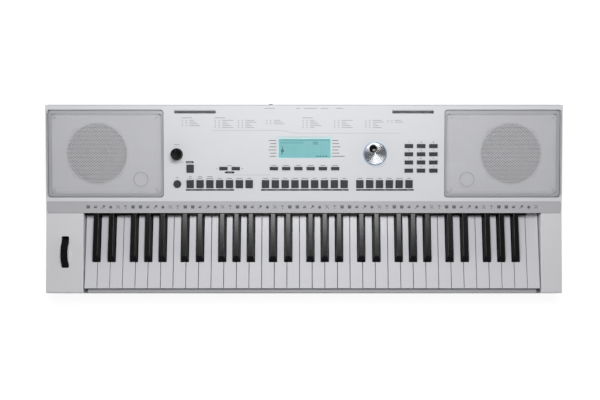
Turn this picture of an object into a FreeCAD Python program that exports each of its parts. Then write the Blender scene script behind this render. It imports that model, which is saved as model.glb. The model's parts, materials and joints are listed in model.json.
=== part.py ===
import FreeCAD, Part
import math
import os

# A portable arranger keyboard with 61 keys. X runs to the right along the keys, Y runs from the
# player to the back and Z is up. The origin is under the middle of the part, level with its feet.
# All lengths are in millimetres and all angles in degrees.

# Case
WALL = 2.8
FOOT_HEIGHT = 5.0
FOOT_RADIUS = 12.0
FOOT_INSET = 34.0
PARTING_HEIGHT = 40.0
BLOCK_DEPTH = 147.7
PANEL_LENGTH = 201.6
PANEL_SLOPE = 9.5
EDGE_ABOVE_KEYS = 17.0
LEFT_BLOCK_WIDTH = 69.5
RIGHT_BLOCK_WIDTH = 38.8
BLOCK_FRONT_BELOW_KEYS = 1.0
BLOCK_STEP = 0.6
EDGE_ROUND = 2.5
SEAM = 0.3

# Keys
KEY_PITCH = 23.6
KEY_GAP = 1.0
OCTAVES = 5
KEY_TOP_HEIGHT = 60.0
KEY_BODY = 16.0
KEY_LIP = 19.0
KEY_WALL = 1.6
KEY_SKIN = 2.5
KEY_ROUND = 0.8
WELL_GAP = 1.85
BLACK_REACH = 89.3
BLACK_RISE = 11.0
BLACK_BASE_WIDTH = 13.4
BLACK_TOP_WIDTH = 9.2
BLACK_FRONT_RAKE = 9.0
BLACK_SHOULDER = 1.0
BLACK_ROUND = 1.2
BLACK_SIDE_GAP = 1.1
BLACK_FRONT_GAP = 1.2
BLACK_OFFSETS = {1: -2.4, 2: 2.4, 4: -3.2, 5: 0.0, 6: 3.2}
BRIDGE_PROUD = 3.2
BRIDGE_DEPTH = 6.0
BRIDGE_CLEAR = 4.5
BRIDGE_HEIGHT = 6.0

# Key hinges, each comb of keys on its own bar
HINGE_BEHIND_EDGE = 37.3
HINGE_RADIUS = 2.4
HINGE_CLEARANCE = 0.05
HINGE_DROP = {"cegb": 13.0, "dfa": 6.0, "black": -4.0}
HINGE_PLATE = 4.0
HINGE_PLATE_DEPTH = 12.0
HINGE_PLATE_MARGIN = 4.0
BAR_END_GAP = 0.5
TAIL_THICKNESS = 4.0
TAIL_INSET = 3.0
BODY_TO_HINGE = 8.0
WHITE_TRAVEL = 3.2
BLACK_TRAVEL = 4.0

# Key chassis, contacts and felt
CHASSIS_BELOW_KEYS = 31.5
CHASSIS_PLATE = 2.5
CHASSIS_LEG = 3.0
CHASSIS_FRONT_GAP = 4.0
CHASSIS_SIDE_GAP = 1.0
LEG_COUNT = 4
FELT_DEPTH = 13.0
FELT_GAP = 0.4
CONTACT_FROM_HINGE = 77.0
CONTACT_BOARD_DEPTH = 34.0
BOARD = 1.6
CONTACT_SHEET = 2.0
CONTACT_DEPTH = 16.0
DOME_RADIUS = 4.2
DOME_GAP = 0.5

# Key slip along the front
SLIP_DEPTH = 6.6
SLIP_TO_KEYS = 0.9
SLIP_DROP = 4.5
SLIP_STEP_DROP = 2.0
SLIP_STEP_DEPTH = 3.6
SLIP_HEIGHT = 31.5
SLIP_END_GAP = 8.0
SLIP_END_DROP = 4.0
SLIP_SETBACK = 0.8

# Icon strip along the front of the panel
STRIP_WIDTH = 21.0
STRIP_THICKNESS = 2.2
STRIP_LIP = 4.4
STRIP_SIDE = 2.4
STRIP_ROUND = 5.0

# Loudspeakers and their grilles
CONTROL_HALF_WIDTH = 261.0
GRILLE_SIDE = 2.0
GRILLE_FRONT = 29.0
GRILLE_LENGTH = 163.0
GRILLE_DEPTH = 5.0
GRILLE_GAP = 1.0
GRILLE_BEVEL = 6.0
GRILLE_BEVEL_DROP = 2.2
GRILLE_SHEET = 1.5
GRILLE_ROUND = 6.0
PORT_INSET = 42.5
PORT_RISE = 34.0
PORT_RADIUS = 14.4
PORT_RING = 2.5
PORT_PROUD = 0.6
SPEAKER_RADIUS = 56.0
SPEAKER_ASIDE = 16.6
SPEAKER_FLANGE = 7.0
SPEAKER_FLANGE_THICKNESS = 3.0
SPEAKER_DEPTH = 34.0
MAGNET_RADIUS = 38.0
MAGNET_DEPTH = 18.0
CONE_THICKNESS = 1.5
CONE_SEAT = 4.0
CONE_DEPTH = 22.0
DUST_CAP_DEPTH = 16.5
CONE_NECK = 16.0
GRILLE_SCREW_INSET = 14.0
SCREW_HEAD = 3.0
SCREW_HEAD_HEIGHT = 2.0
SCREW_SHANK = 1.4
SCREW_CLEARANCE = 0.1

# Panel controls, with each place as X and the distance up the slope from the panel's front edge
CAP_PROUD = 1.8
CAP_GAP = 0.35
CAP_ROUND = 0.6
CAP_TRAVEL = 1.0
WEB_THICKNESS = 1.2
WEB_MARGIN = 2.5
WEB_GAP = 0.2
SWITCH_SIZE = 6.0
SWITCH_HEIGHT = 4.3
SWITCH_GAP = 0.1
STEM_RADIUS = 2.0
PANEL_BOARD_DEPTH = 12.0
PANEL_BOARD_SIDE = 5.0
PANEL_BOARD_FRONT = 36.0
PANEL_BOARD_LENGTH = 112.0
BOSS_RADIUS = 3.5
BOSS_INSET = 81.0
BOSS_FROM_DISPLAY = 81.2
BOSS_FROM_KEYPAD = 23.0
BOSS_FRONT_RISE = 70.0
BOSS_BACK_RISE = 128.0
BOSS_DIAL_GAP = 2.4
ROW_RISE = 53.8
SQUARE_WIDTH = 13.2
SQUARE_LENGTH = 14.3
SQUARE_PITCH = 18.3
LEFT_ROW_INSET = 49.2
CENTRE_ROW_X = -71.6
CENTRE_ROW_COUNT = 9
RIGHT_ROW_INSET = 65.5
ROW_GAP = 15.0
START_BUTTON_RISE = 82.5
POWER_INSET = 25.2
POWER_BUTTON_RADIUS = 7.1
BAR_RISE = 82.7
BAR_WIDTH = 14.8
BAR_LENGTH = 5.6
BAR_PITCH = 22.8
TEMPO_INSET = 111.2
DISPLAY_ROW_X = -56.0
DISPLAY_ROW_COUNT = 6
KEYPAD_INSET = 66.0
KEYPAD_RISE = 78.9
KEYPAD_WIDTH = 15.2
KEYPAD_LENGTH = 6.8
KEYPAD_ROW_PITCH = 15.2
KEYPAD_COLUMNS = 3
KEYPAD_ROWS = 4

# Display
DISPLAY_X = 1.2
DISPLAY_RISE = 121.5
WINDOW_WIDTH = 102.0
WINDOW_LENGTH = 41.0
WINDOW_THICKNESS = 2.0
WINDOW_GAP = 0.15
MODULE_MARGIN = 5.0

# Data dial
DIAL_TO_KEYPAD = 63.3
DIAL_RISE = 110.4
DIAL_RADIUS = 21.6
DIAL_HEIGHT = 7.0
DIAL_LIFT = 0.9
DIAL_ROUND = 1.0
DIAL_HUB_RADIUS = 6.0
RING_RADIUS = 24.8
RING_RIM = 2.6
RING_PROUD = 0.5
RING_FLANGE = 2.4
CUP_RADIUS = 7.4
CUP_OFFSET_X = -3.4
CUP_OFFSET_RISE = 8.9
CUP_DEPTH = 3.4
CUP_DISH = 2.0
CUP_GAP = 0.1
CUP_FLOOR = 1.0
ENCODER_SIZE = 12.5
ENCODER_HEIGHT = 6.0

# Rotary controls on shafts
SHAFT_RADIUS = 3.0
SHAFT_CLEARANCE = 0.05
SHAFT_END_GAP = 0.6
KNOB_CAP = 2.0
BUSHING_RADIUS = 4.4
BUSHING_GAP = 0.4
HUB_GAP = 0.5
POT_RADIUS = 8.5
POT_HEIGHT = 7.0
VOLUME_INSET = 24.8
VOLUME_RISE = 109.3
VOLUME_RADIUS = 11.1
VOLUME_HEIGHT = 14.0
KNOB_LIFT = 0.8
KNOB_ROUND = 1.2
KNOB_DRAFT = 0.8
POINTER_WIDTH = 1.2
POINTER_DEPTH = 0.5

# Bend wheel in the left end block
BEND_X_INSET = 36.0
BEND_SETBACK = 75.5
BEND_WIDTH = 13.0
BEND_PROUD = 10.0
BEND_SLOT_SIDE = 0.6
BEND_SLOT_END = 0.5
BEND_GROOVE = 3.0
BEND_GROOVE_DEPTH = 1.6
BEND_FLOOR_GAP = 1.5
BEND_CHEEK = 3.0
BEND_CHEEK_GAP = 0.3
BEND_CHEEK_MARGIN = 5.0
BRACKET_BASE = 2.5
BRACKET_LENGTH = 36.0

# Rear jack plate and sockets
MIC_KNOB_REACH = 3.4
MIC_KNOB_X = -62.0
MIC_KNOB_RADIUS = 5.5
MIC_SHAFT_RADIUS = 2.0
BAY_LEFT = -85.0
BAY_RIGHT = 118.0
BAY_BELOW_EDGE = 7.0
BAY_HEIGHT = 37.0
BAY_DEPTH = 5.0
BAY_WALL = 2.0
BAY_FLANGE = 4.0
MIC_BELOW_BAY = 8.0
JACK_ABOVE_BAY = 14.0
JACK_PLACES = (-38.0, 13.0, 37.0)
JACK_BORE = 3.25
JACK_NOSE = 5.2
JACK_NOSE_PROUD = 1.0
JACK_BODY = 15.0
JACK_LENGTH = 27.0
AUX_X = -10.0
AUX_BORE = 1.8
AUX_NOSE = 3.4
AUX_BODY = 10.0
AUX_LENGTH = 14.0
INLET_X = 66.0
INLET_BORE = 2.85
INLET_NOSE = 4.6
INLET_BODY = 12.0
INLET_LENGTH = 15.0
USB_X = 95.0
USB_WIDTH = 12.0
USB_HEIGHT = 10.8
USB_SHELL = 0.9
USB_LENGTH = 16.0
SOCKET_GAP = 0.2
MAIN_BOARD_LEFT = -78.0
MAIN_BOARD_RIGHT = 112.0
MAIN_BOARD_LENGTH = 44.0
MAIN_BOSS_INSET = 7.0

# Slots for the music rest
REST_SLOT_INSET = 58.5
REST_SLOT_WIDTH = 77.0
REST_SLOT_RISE = 188.0
REST_SLOT_LENGTH = 7.0
REST_POCKET_DEPTH = 12.0

# Case screws
CASE_SCREW_HEAD = 3.6
CASE_SCREW_HEAD_HEIGHT = 2.6
CASE_SCREW_SHANK = 1.6
CASE_SCREW_BITE = 12.0
PILOT_SPARE = 1.0
CASE_BOSS_RADIUS = 5.0
CASE_BOSS_INSET = 14.0
BACK_SCREW_SPACING = 150.0

# Places worked out from the driving dimensions
Vector = FreeCAD.Vector
SLOPE_SIN = math.sin(math.radians(PANEL_SLOPE))
SLOPE_COS = math.cos(math.radians(PANEL_SLOPE))
SLOPE_TAN = SLOPE_SIN / SLOPE_COS
WHITES = 7 * OCTAVES + 1
WELL_WIDTH = WHITES * KEY_PITCH + 2 * WELL_GAP
CASE_WIDTH = LEFT_BLOCK_WIDTH + WELL_WIDTH + RIGHT_BLOCK_WIDTH
HALF_WIDTH = CASE_WIDTH / 2
CASE_DEPTH = BLOCK_DEPTH + PANEL_LENGTH * SLOPE_COS
FRONT_Y = -(CASE_DEPTH + MIC_KNOB_REACH) / 2
BACK_Y = FRONT_Y + CASE_DEPTH
EDGE_Y = FRONT_Y + BLOCK_DEPTH
EDGE_Z = KEY_TOP_HEIGHT + EDGE_ABOVE_KEYS
BACK_Z = EDGE_Z + PANEL_LENGTH * SLOPE_SIN
FLOOR_Z = FOOT_HEIGHT + WALL
WELL_LEFT = -HALF_WIDTH + LEFT_BLOCK_WIDTH
WELL_RIGHT = HALF_WIDTH - RIGHT_BLOCK_WIDTH
KEYS_LEFT = WELL_LEFT + WELL_GAP
OCTAVE = 7 * KEY_PITCH
KEY_FRONT_Y = FRONT_Y + SLIP_SETBACK + SLIP_DEPTH + SLIP_TO_KEYS
BLACK_FRONT_Y = EDGE_Y - BLACK_REACH
NOTCH_Y = BLACK_FRONT_Y - BLACK_FRONT_GAP
HINGE_Y = EDGE_Y + HINGE_BEHIND_EDGE
BODY_REAR_Y = HINGE_Y - BODY_TO_HINGE
KEY_BOTTOM_Z = KEY_TOP_HEIGHT - KEY_BODY
LIP_Z = KEY_TOP_HEIGHT - KEY_LIP
HINGE_Z = {name: KEY_TOP_HEIGHT - drop for name, drop in HINGE_DROP.items()}
BRIDGE_Z = KEY_TOP_HEIGHT + BRIDGE_CLEAR
CHASSIS_Z = KEY_TOP_HEIGHT - CHASSIS_BELOW_KEYS
CONTACT_Y = HINGE_Y - CONTACT_FROM_HINGE
SLIP_TOP_Z = KEY_TOP_HEIGHT - SLIP_DROP
SLIP_BOTTOM_Z = SLIP_TOP_Z - SLIP_HEIGHT
GRILLE_OUTER_X = HALF_WIDTH - GRILLE_SIDE
GRILLE_BACK = GRILLE_FRONT + GRILLE_LENGTH
SPEAKER_X = (GRILLE_OUTER_X + CONTROL_HALF_WIDTH) / 2 + SPEAKER_ASIDE
SPEAKER_RISE = GRILLE_FRONT + GRILLE_LENGTH / 2
BAFFLE_N = -(GRILLE_DEPTH + WALL)
POWER_BUTTON_X = -CONTROL_HALF_WIDTH + POWER_INSET
VOLUME_X = -CONTROL_HALF_WIDTH + VOLUME_INSET
LEFT_ROW_X = -CONTROL_HALF_WIDTH + LEFT_ROW_INSET
LEFT_ROW_ROOM = CENTRE_ROW_X - SQUARE_WIDTH - ROW_GAP - LEFT_ROW_X
LEFT_ROW_COUNT = int(LEFT_ROW_ROOM / SQUARE_PITCH) + 1
CENTRE_ROW_END_X = CENTRE_ROW_X + (CENTRE_ROW_COUNT - 1) * SQUARE_PITCH
RIGHT_ROW_END_X = CONTROL_HALF_WIDTH - RIGHT_ROW_INSET
RIGHT_ROW_ROOM = RIGHT_ROW_END_X - CENTRE_ROW_END_X - SQUARE_WIDTH - ROW_GAP
RIGHT_ROW_COUNT = int(RIGHT_ROW_ROOM / SQUARE_PITCH) + 1
RIGHT_ROW_X = RIGHT_ROW_END_X - (RIGHT_ROW_COUNT - 1) * SQUARE_PITCH
TEMPO_X = -CONTROL_HALF_WIDTH + TEMPO_INSET
KEYPAD_X = CONTROL_HALF_WIDTH - KEYPAD_INSET
DIAL_X = KEYPAD_X - DIAL_TO_KEYPAD
REST_SLOT_X = CONTROL_HALF_WIDTH - REST_SLOT_INSET
WEB_TOP_N = -(WALL + WEB_GAP)
BOARD_TOP_N = -PANEL_BOARD_DEPTH
SWITCH_TOP_N = BOARD_TOP_N + SWITCH_HEIGHT
DIAL_BORE_TOP = DIAL_LIFT + DIAL_HEIGHT - CUP_DEPTH - CUP_FLOOR
BLOCK_FRONT_Z = KEY_TOP_HEIGHT - BLOCK_FRONT_BELOW_KEYS
BLOCK_BACK_Z = EDGE_Z - BLOCK_STEP
BEND_X = -HALF_WIDTH + BEND_X_INSET
BEND_Y = FRONT_Y + BEND_SETBACK
BLOCK_TAN = (BLOCK_BACK_Z - BLOCK_FRONT_Z) / BLOCK_DEPTH
BEND_SURFACE_Z = BLOCK_FRONT_Z + BEND_SETBACK * BLOCK_TAN
BEND_BOTTOM_Z = FLOOR_Z + BRACKET_BASE + BEND_FLOOR_GAP
BEND_RADIUS = (BEND_SURFACE_Z + BEND_PROUD - BEND_BOTTOM_Z) / 2
BEND_AXIS_Z = BEND_BOTTOM_Z + BEND_RADIUS
BAY_TOP_Z = BACK_Z - BAY_BELOW_EDGE
BAY_BOTTOM_Z = BAY_TOP_Z - BAY_HEIGHT
BAY_FLOOR_Y = BACK_Y - BAY_DEPTH
PLATE_BACK_Y = BAY_FLOOR_Y - BAY_WALL
MIC_Z = BAY_TOP_Z - MIC_BELOW_BAY
JACK_Z = BAY_BOTTOM_Z + JACK_ABOVE_BAY
MAIN_BOARD_Z = JACK_Z - JACK_BODY / 2
MAIN_BOARD_BACK_Y = PLATE_BACK_Y - SEAM
MAIN_BOARD_FRONT_Y = MAIN_BOARD_BACK_Y - MAIN_BOARD_LENGTH
PANEL = FreeCAD.Placement(Vector(0, EDGE_Y, EDGE_Z), FreeCAD.Rotation(Vector(1, 0, 0), PANEL_SLOPE))


# Simple solids

def block(x0, x1, y0, y1, z0, z1):
    """A box between two opposite corners."""
    return Part.makeBox(x1 - x0, y1 - y0, z1 - z0, Vector(x0, y0, z0))


def tile(x, y, width, length, z0, z1):
    """A box centred on a place in plan."""
    return block(x - width / 2, x + width / 2, y - length / 2, y + length / 2, z0, z1)


def disc(x, y, radius, z0, z1):
    """A round bar along Z."""
    return Part.makeCylinder(radius, z1 - z0, Vector(x, y, z0))


def bar_along_x(y, z, radius, x0, x1):
    """A round bar along X."""
    return Part.makeCylinder(radius, x1 - x0, Vector(x0, y, z), Vector(1, 0, 0))


def bar_along_y(x, z, radius, y0, y1):
    """A round bar along Y."""
    return Part.makeCylinder(radius, y1 - y0, Vector(x, y0, z), Vector(0, 1, 0))


def side_profile(points, x0, x1):
    """A side view of (y, z) points drawn out along X."""
    corners = [Vector(x0, y, z) for y, z in points]
    face = Part.Face(Part.makePolygon(corners + corners[:1]))
    return face.extrude(Vector(x1 - x0, 0, 0))


def turned(points, x, y, z):
    """A half section of (radius, height) points turned about an upright axis."""
    corners = [Vector(x + radius, y, z + height) for radius, height in points]
    face = Part.Face(Part.makePolygon(corners + corners[:1]))
    return face.revolve(Vector(x, y, z), Vector(0, 0, 1), 360)


def joined(pieces):
    """One clean solid from pieces that meet."""
    return pieces[0].multiFuse(pieces[1:]).removeSplitter()


def on_panel(shape):
    """Lays a shape drawn in panel axes (X, up the slope, out of the panel) on the case."""
    laid = shape.copy()
    laid.Placement = PANEL.multiply(laid.Placement)
    return laid


def edges_at_height(shape, z):
    """The edges that lie wholly at one height."""
    return [edge for edge in shape.Edges if all(abs(v.Z - z) < 1e-6 for v in edge.Vertexes)]


def upright_edges(shape):
    """The edges that run along Z."""
    return [edge for edge in shape.Edges
            if len(edge.Vertexes) == 2 and abs(edge.Vertexes[0].Z - edge.Vertexes[1].Z) > 1e-6]


def rounded_tile(x, y, width, length, z0, z1, corner):
    """A box centred on a place in plan with rounded upright corners."""
    box = tile(x, y, width, length, z0, z1)
    return box.makeFillet(corner, upright_edges(box))


def panel_height(y):
    """Height of the panel's outer face over a place on the Y axis."""
    return EDGE_Z + (y - EDGE_Y) * SLOPE_TAN


def block_height(y):
    """Height of the end blocks' tops over a place on the Y axis."""
    return BLOCK_FRONT_Z + (y - FRONT_Y) * BLOCK_TAN


# Places of the panel buttons, one list of (X, rise) for each moulding

def row(first_x, rise, count, pitch):
    return [(first_x + i * pitch, rise) for i in range(count)]


def keypad_places():
    return [(KEYPAD_X + column * BAR_PITCH, KEYPAD_RISE + line * KEYPAD_ROW_PITCH)
            for line in range(KEYPAD_ROWS) for column in range(KEYPAD_COLUMNS)]


BUTTONS = {
    "left_button_strip": (row(LEFT_ROW_X, ROW_RISE, LEFT_ROW_COUNT, SQUARE_PITCH), SQUARE_WIDTH, SQUARE_LENGTH),
    "centre_button_strip": (row(CENTRE_ROW_X, ROW_RISE, CENTRE_ROW_COUNT, SQUARE_PITCH),
                            SQUARE_WIDTH, SQUARE_LENGTH),
    "right_button_strip": (row(RIGHT_ROW_X, ROW_RISE, RIGHT_ROW_COUNT, SQUARE_PITCH),
                           SQUARE_WIDTH, SQUARE_LENGTH),
    "upper_square_button": ([(LEFT_ROW_X, START_BUTTON_RISE)], SQUARE_WIDTH, SQUARE_LENGTH),
    "tempo_down_button": ([(TEMPO_X, BAR_RISE)], BAR_WIDTH, BAR_LENGTH),
    "tempo_up_button": ([(TEMPO_X + BAR_PITCH, BAR_RISE)], BAR_WIDTH, BAR_LENGTH),
    "display_button_strip": (row(DISPLAY_ROW_X, BAR_RISE, DISPLAY_ROW_COUNT, BAR_PITCH), BAR_WIDTH, BAR_LENGTH),
    "keypad": (keypad_places(), KEYPAD_WIDTH, KEYPAD_LENGTH),
}
POWER_PLACE = (POWER_BUTTON_X, ROW_RISE)


# Case mouldings

def boss(x, y, z0, z1):
    return disc(x, y, CASE_BOSS_RADIUS, z0, z1)


def back_screw_places():
    """Screws along the back that pull the bottom case up to the top case."""
    y = BACK_Y - CASE_BOSS_INSET
    outer = HALF_WIDTH - CASE_BOSS_INSET
    return [(-outer, y), (-BACK_SCREW_SPACING, y), (BACK_SCREW_SPACING, y), (outer, y)]


def left_screw_places():
    return [(-HALF_WIDTH + CASE_BOSS_INSET, FRONT_Y + CASE_BOSS_INSET),
            (-HALF_WIDTH + CASE_BOSS_INSET, EDGE_Y - CASE_BOSS_INSET)]


def right_screw_places():
    return [(HALF_WIDTH - CASE_BOSS_INSET, FRONT_Y + CASE_BOSS_INSET),
            (HALF_WIDTH - CASE_BOSS_INSET, EDGE_Y - CASE_BOSS_INSET)]


def screw_places():
    return back_screw_places() + left_screw_places() + right_screw_places()


def pilot_hole(x, y):
    return disc(x, y, CASE_SCREW_SHANK, PARTING_HEIGHT - WALL, PARTING_HEIGHT + CASE_SCREW_BITE + PILOT_SPARE)


def grille_recess(side):
    """The pocket that one grille lies in, in panel axes."""
    width = GRILLE_OUTER_X - CONTROL_HALF_WIDTH
    middle = side * (GRILLE_OUTER_X + CONTROL_HALF_WIDTH) / 2
    return rounded_tile(middle, SPEAKER_RISE, width, GRILLE_LENGTH, -GRILLE_DEPTH, WALL, GRILLE_ROUND)


def grille_screw_places(side):
    inner = CONTROL_HALF_WIDTH + GRILLE_SCREW_INSET
    outer = GRILLE_OUTER_X - GRILLE_SCREW_INSET
    front = GRILLE_FRONT + GRILLE_SCREW_INSET
    back = GRILLE_BACK - GRILLE_SCREW_INSET
    return [(side * x, rise) for x in (inner, outer) for rise in (front, back)]


def baffle(side):
    """The sunk shelf that carries one loudspeaker, in panel axes."""
    width = GRILLE_OUTER_X - CONTROL_HALF_WIDTH + GRILLE_SIDE + WALL
    middle = side * (HALF_WIDTH + CONTROL_HALF_WIDTH - WALL) / 2
    return tile(middle, SPEAKER_RISE, width, GRILLE_LENGTH + 2 * WALL, BAFFLE_N, -WALL / 2)


def button_holes():
    """Openings for every button, in panel axes."""
    holes = [disc(*POWER_PLACE, POWER_BUTTON_RADIUS + CAP_GAP, BAFFLE_N, WALL)]
    for places, width, length in BUTTONS.values():
        for x, rise in places:
            holes.append(tile(x, rise, width + 2 * CAP_GAP, length + 2 * CAP_GAP, BAFFLE_N, WALL))
    return holes


def strip_outline(z0, z1, grow):
    """The icon strip's plan, with its front corners rounded, in panel axes."""
    half = HALF_WIDTH - STRIP_SIDE + grow
    plate = block(-half, half, -grow, STRIP_WIDTH + grow, z0, z1)
    front = [edge for edge in upright_edges(plate) if edge.Vertexes[0].Y < STRIP_WIDTH / 2]
    return plate.makeFillet(STRIP_ROUND, front)


def panel_boss_places():
    """Places of the bosses that hold the panel board, between the controls."""
    left = -CONTROL_HALF_WIDTH + BOSS_INSET
    inner = DISPLAY_X - BOSS_FROM_DISPLAY
    right = KEYPAD_X - BOSS_FROM_KEYPAD
    over_dial = DIAL_RISE + RING_RADIUS + RING_FLANGE + BOSS_DIAL_GAP + BOSS_RADIUS
    return [(left, BOSS_BACK_RISE), (inner, BOSS_BACK_RISE), (left, BOSS_FRONT_RISE), (inner, BOSS_FRONT_RISE),
            (right, over_dial), (DIAL_X, over_dial), (right, BOSS_FRONT_RISE)]


def rest_slots(z0, z1, grow):
    """The two slots for the music rest, in panel axes."""
    width = REST_SLOT_WIDTH + 2 * grow
    length = REST_SLOT_LENGTH + 2 * grow
    return [tile(side * REST_SLOT_X, REST_SLOT_RISE, width, length, z0, z1) for side in (-1, 1)]


def top_case():
    """Sloping panel with its side and back walls, open below and towards the keys."""
    outer = side_profile([(EDGE_Y, EDGE_Z), (BACK_Y, BACK_Z), (BACK_Y, PARTING_HEIGHT),
                          (EDGE_Y, PARTING_HEIGHT)], -HALF_WIDTH, HALF_WIDTH)
    rounded = [edge for edge in outer.Edges
               if all(v.Z > EDGE_Z - 1e-6 for v in edge.Vertexes)
               and max(v.Y for v in edge.Vertexes) > EDGE_Y + WALL]
    outer = outer.makeFillet(EDGE_ROUND, rounded)
    drop = WALL / SLOPE_COS
    inside_y = BACK_Y - WALL
    before_y = EDGE_Y - WALL
    cavity = side_profile([(before_y, panel_height(before_y) - drop), (inside_y, panel_height(inside_y) - drop),
                           (inside_y, PARTING_HEIGHT - WALL), (before_y, PARTING_HEIGHT - WALL)],
                          -HALF_WIDTH + WALL, HALF_WIDTH - WALL)
    shell = outer.cut(cavity)
    ledge = block(-HALF_WIDTH + WALL / 2, HALF_WIDTH - WALL / 2, STRIP_THICKNESS + SEAM, STRIP_WIDTH + WALL,
                  -STRIP_THICKNESS - WALL, -WALL / 2)
    pockets = rest_slots(-REST_POCKET_DEPTH - WALL, -WALL / 2, WALL)
    board_bosses = [disc(x, rise, BOSS_RADIUS, BOARD_TOP_N, -WALL / 2) for x, rise in panel_boss_places()]
    added = [ledge, baffle(-1), baffle(1)] + pockets + board_bosses
    shell = shell.multiFuse([on_panel(piece) for piece in added])
    bosses = [boss(x, y, PARTING_HEIGHT, panel_height(y) - WALL) for x, y in back_screw_places()]
    bosses += [boss(x, y, MAIN_BOARD_Z, panel_height(y) - WALL) for x, y in main_boss_places()]
    shell = shell.multiFuse(bosses)
    cuts = button_holes() + rest_slots(-REST_POCKET_DEPTH, WALL, 0)
    cuts.append(strip_outline(-STRIP_THICKNESS, WALL, SEAM))
    cuts.append(block(WELL_LEFT - SEAM, WELL_RIGHT + SEAM, -WALL, STRIP_THICKNESS + SEAM, -2 * STRIP_LIP, 0))
    for side in (-1, 1):
        cuts.append(grille_recess(side))
        cuts.append(disc(side * SPEAKER_X, SPEAKER_RISE, SPEAKER_RADIUS, BAFFLE_N - WALL, WALL))
        for x, rise in grille_screw_places(side):
            cuts.append(disc(x, rise, SCREW_SHANK + SCREW_CLEARANCE, BAFFLE_N - WALL, 0))
    cuts.append(tile(DISPLAY_X, DISPLAY_RISE, WINDOW_WIDTH + 2 * WINDOW_GAP, WINDOW_LENGTH + 2 * WINDOW_GAP,
                     -2 * WALL, WALL))
    cuts.append(disc(DIAL_X, DIAL_RISE, RING_RADIUS + SEAM, -2 * WALL, WALL))
    cuts.append(disc(VOLUME_X, VOLUME_RISE, BUSHING_RADIUS + BUSHING_GAP, -2 * WALL, WALL))
    shell = shell.cut([on_panel(piece) for piece in cuts])
    bay = block(BAY_LEFT, BAY_RIGHT, BACK_Y - 2 * WALL, BACK_Y + WALL, BAY_BOTTOM_Z, BAY_TOP_Z)
    return shell.cut([bay] + [pilot_hole(x, y) for x, y in back_screw_places()]).removeSplitter()


def end_block(x0, x1):
    """One hollow end block beside the keys, closed on top and open below."""
    rear_y = EDGE_Y - SEAM
    outer = side_profile([(FRONT_Y, PARTING_HEIGHT), (FRONT_Y, BLOCK_FRONT_Z), (rear_y, BLOCK_BACK_Z),
                          (rear_y, PARTING_HEIGHT)], x0, x1)
    high = [edge for edge in outer.Edges if all(v.Z > PARTING_HEIGHT + WALL for v in edge.Vertexes)
            and min(v.Y for v in edge.Vertexes) < rear_y - WALL]
    outer = outer.makeFillet(EDGE_ROUND, high)
    inner = side_profile([(FRONT_Y + WALL, PARTING_HEIGHT - WALL), (FRONT_Y + WALL, BLOCK_FRONT_Z - WALL),
                          (rear_y - WALL, BLOCK_BACK_Z - WALL), (rear_y - WALL, PARTING_HEIGHT - WALL)],
                         x0 + WALL, x1 - WALL)
    return outer.cut(inner)


def with_bosses(shell, places):
    """Adds the screw bosses of an end block under its top."""
    bosses = [boss(x, y, PARTING_HEIGHT, block_height(y) - WALL) for x, y in places]
    drilled = shell.multiFuse(bosses).cut([pilot_hole(x, y) for x, y in places])
    return drilled.removeSplitter()


def bend_slot():
    """Slot in the left end block, long enough for the wheel where it passes the underside of the wall."""
    deepest = BEND_PROUD + WALL + BEND_RADIUS * BLOCK_TAN
    chord = 2 * math.sqrt(BEND_RADIUS ** 2 - (BEND_RADIUS - deepest) ** 2)
    return rounded_tile(BEND_X, BEND_Y, BEND_WIDTH + 2 * BEND_SLOT_SIDE, chord + 2 * BEND_SLOT_END,
                        BEND_AXIS_Z, EDGE_Z, EDGE_ROUND)


def left_end_block():
    shell = with_bosses(end_block(-HALF_WIDTH, WELL_LEFT), left_screw_places())
    return shell.cut(bend_slot())


def right_end_block():
    return with_bosses(end_block(WELL_RIGHT, HALF_WIDTH), right_screw_places())


def bottom_case():
    """Tray under everything, with screw towers and a low front edge under the key slip."""
    outer = block(-HALF_WIDTH, HALF_WIDTH, FRONT_Y, BACK_Y, FOOT_HEIGHT, PARTING_HEIGHT)
    low = [edge for edge in outer.Edges if all(v.Z < FOOT_HEIGHT + 1e-6 for v in edge.Vertexes)]
    outer = outer.makeFillet(EDGE_ROUND, low)
    tray = outer.cut(block(-HALF_WIDTH + WALL, HALF_WIDTH - WALL, FRONT_Y + WALL, BACK_Y - WALL,
                           FLOOR_Z, PARTING_HEIGHT + WALL))
    tray = tray.cut(block(WELL_LEFT, WELL_RIGHT, FRONT_Y - WALL, FRONT_Y + 2 * WALL,
                          SLIP_BOTTOM_Z, PARTING_HEIGHT + WALL))
    shelf = block(WELL_LEFT, WELL_RIGHT, FRONT_Y + WALL / 2, FRONT_Y + SLIP_SETBACK + SLIP_DEPTH,
                  SLIP_BOTTOM_Z - WALL, SLIP_BOTTOM_Z)
    tray = tray.multiFuse([shelf] + [boss(x, y, FLOOR_Z - WALL / 2, PARTING_HEIGHT) for x, y in screw_places()])
    holes = [disc(x, y, CASE_SCREW_SHANK + SCREW_CLEARANCE, FOOT_HEIGHT, PARTING_HEIGHT + WALL)
             for x, y in screw_places()]
    holes += [disc(x, y, CASE_SCREW_HEAD + SCREW_CLEARANCE, FLOOR_Z - 2 * WALL,
                   FOOT_HEIGHT + CASE_SCREW_HEAD_HEIGHT)
              for x, y in screw_places()]
    return tray.cut(holes).removeSplitter()


def icon_strip():
    """Grey strip along the front edge of the panel, with a lip that hides the key tails."""
    plate = strip_outline(-STRIP_THICKNESS, 0, 0)
    lip = block(WELL_LEFT, WELL_RIGHT, 0, STRIP_THICKNESS, -STRIP_LIP, -STRIP_THICKNESS / 2)
    return on_panel(joined([plate, lip]))


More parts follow.
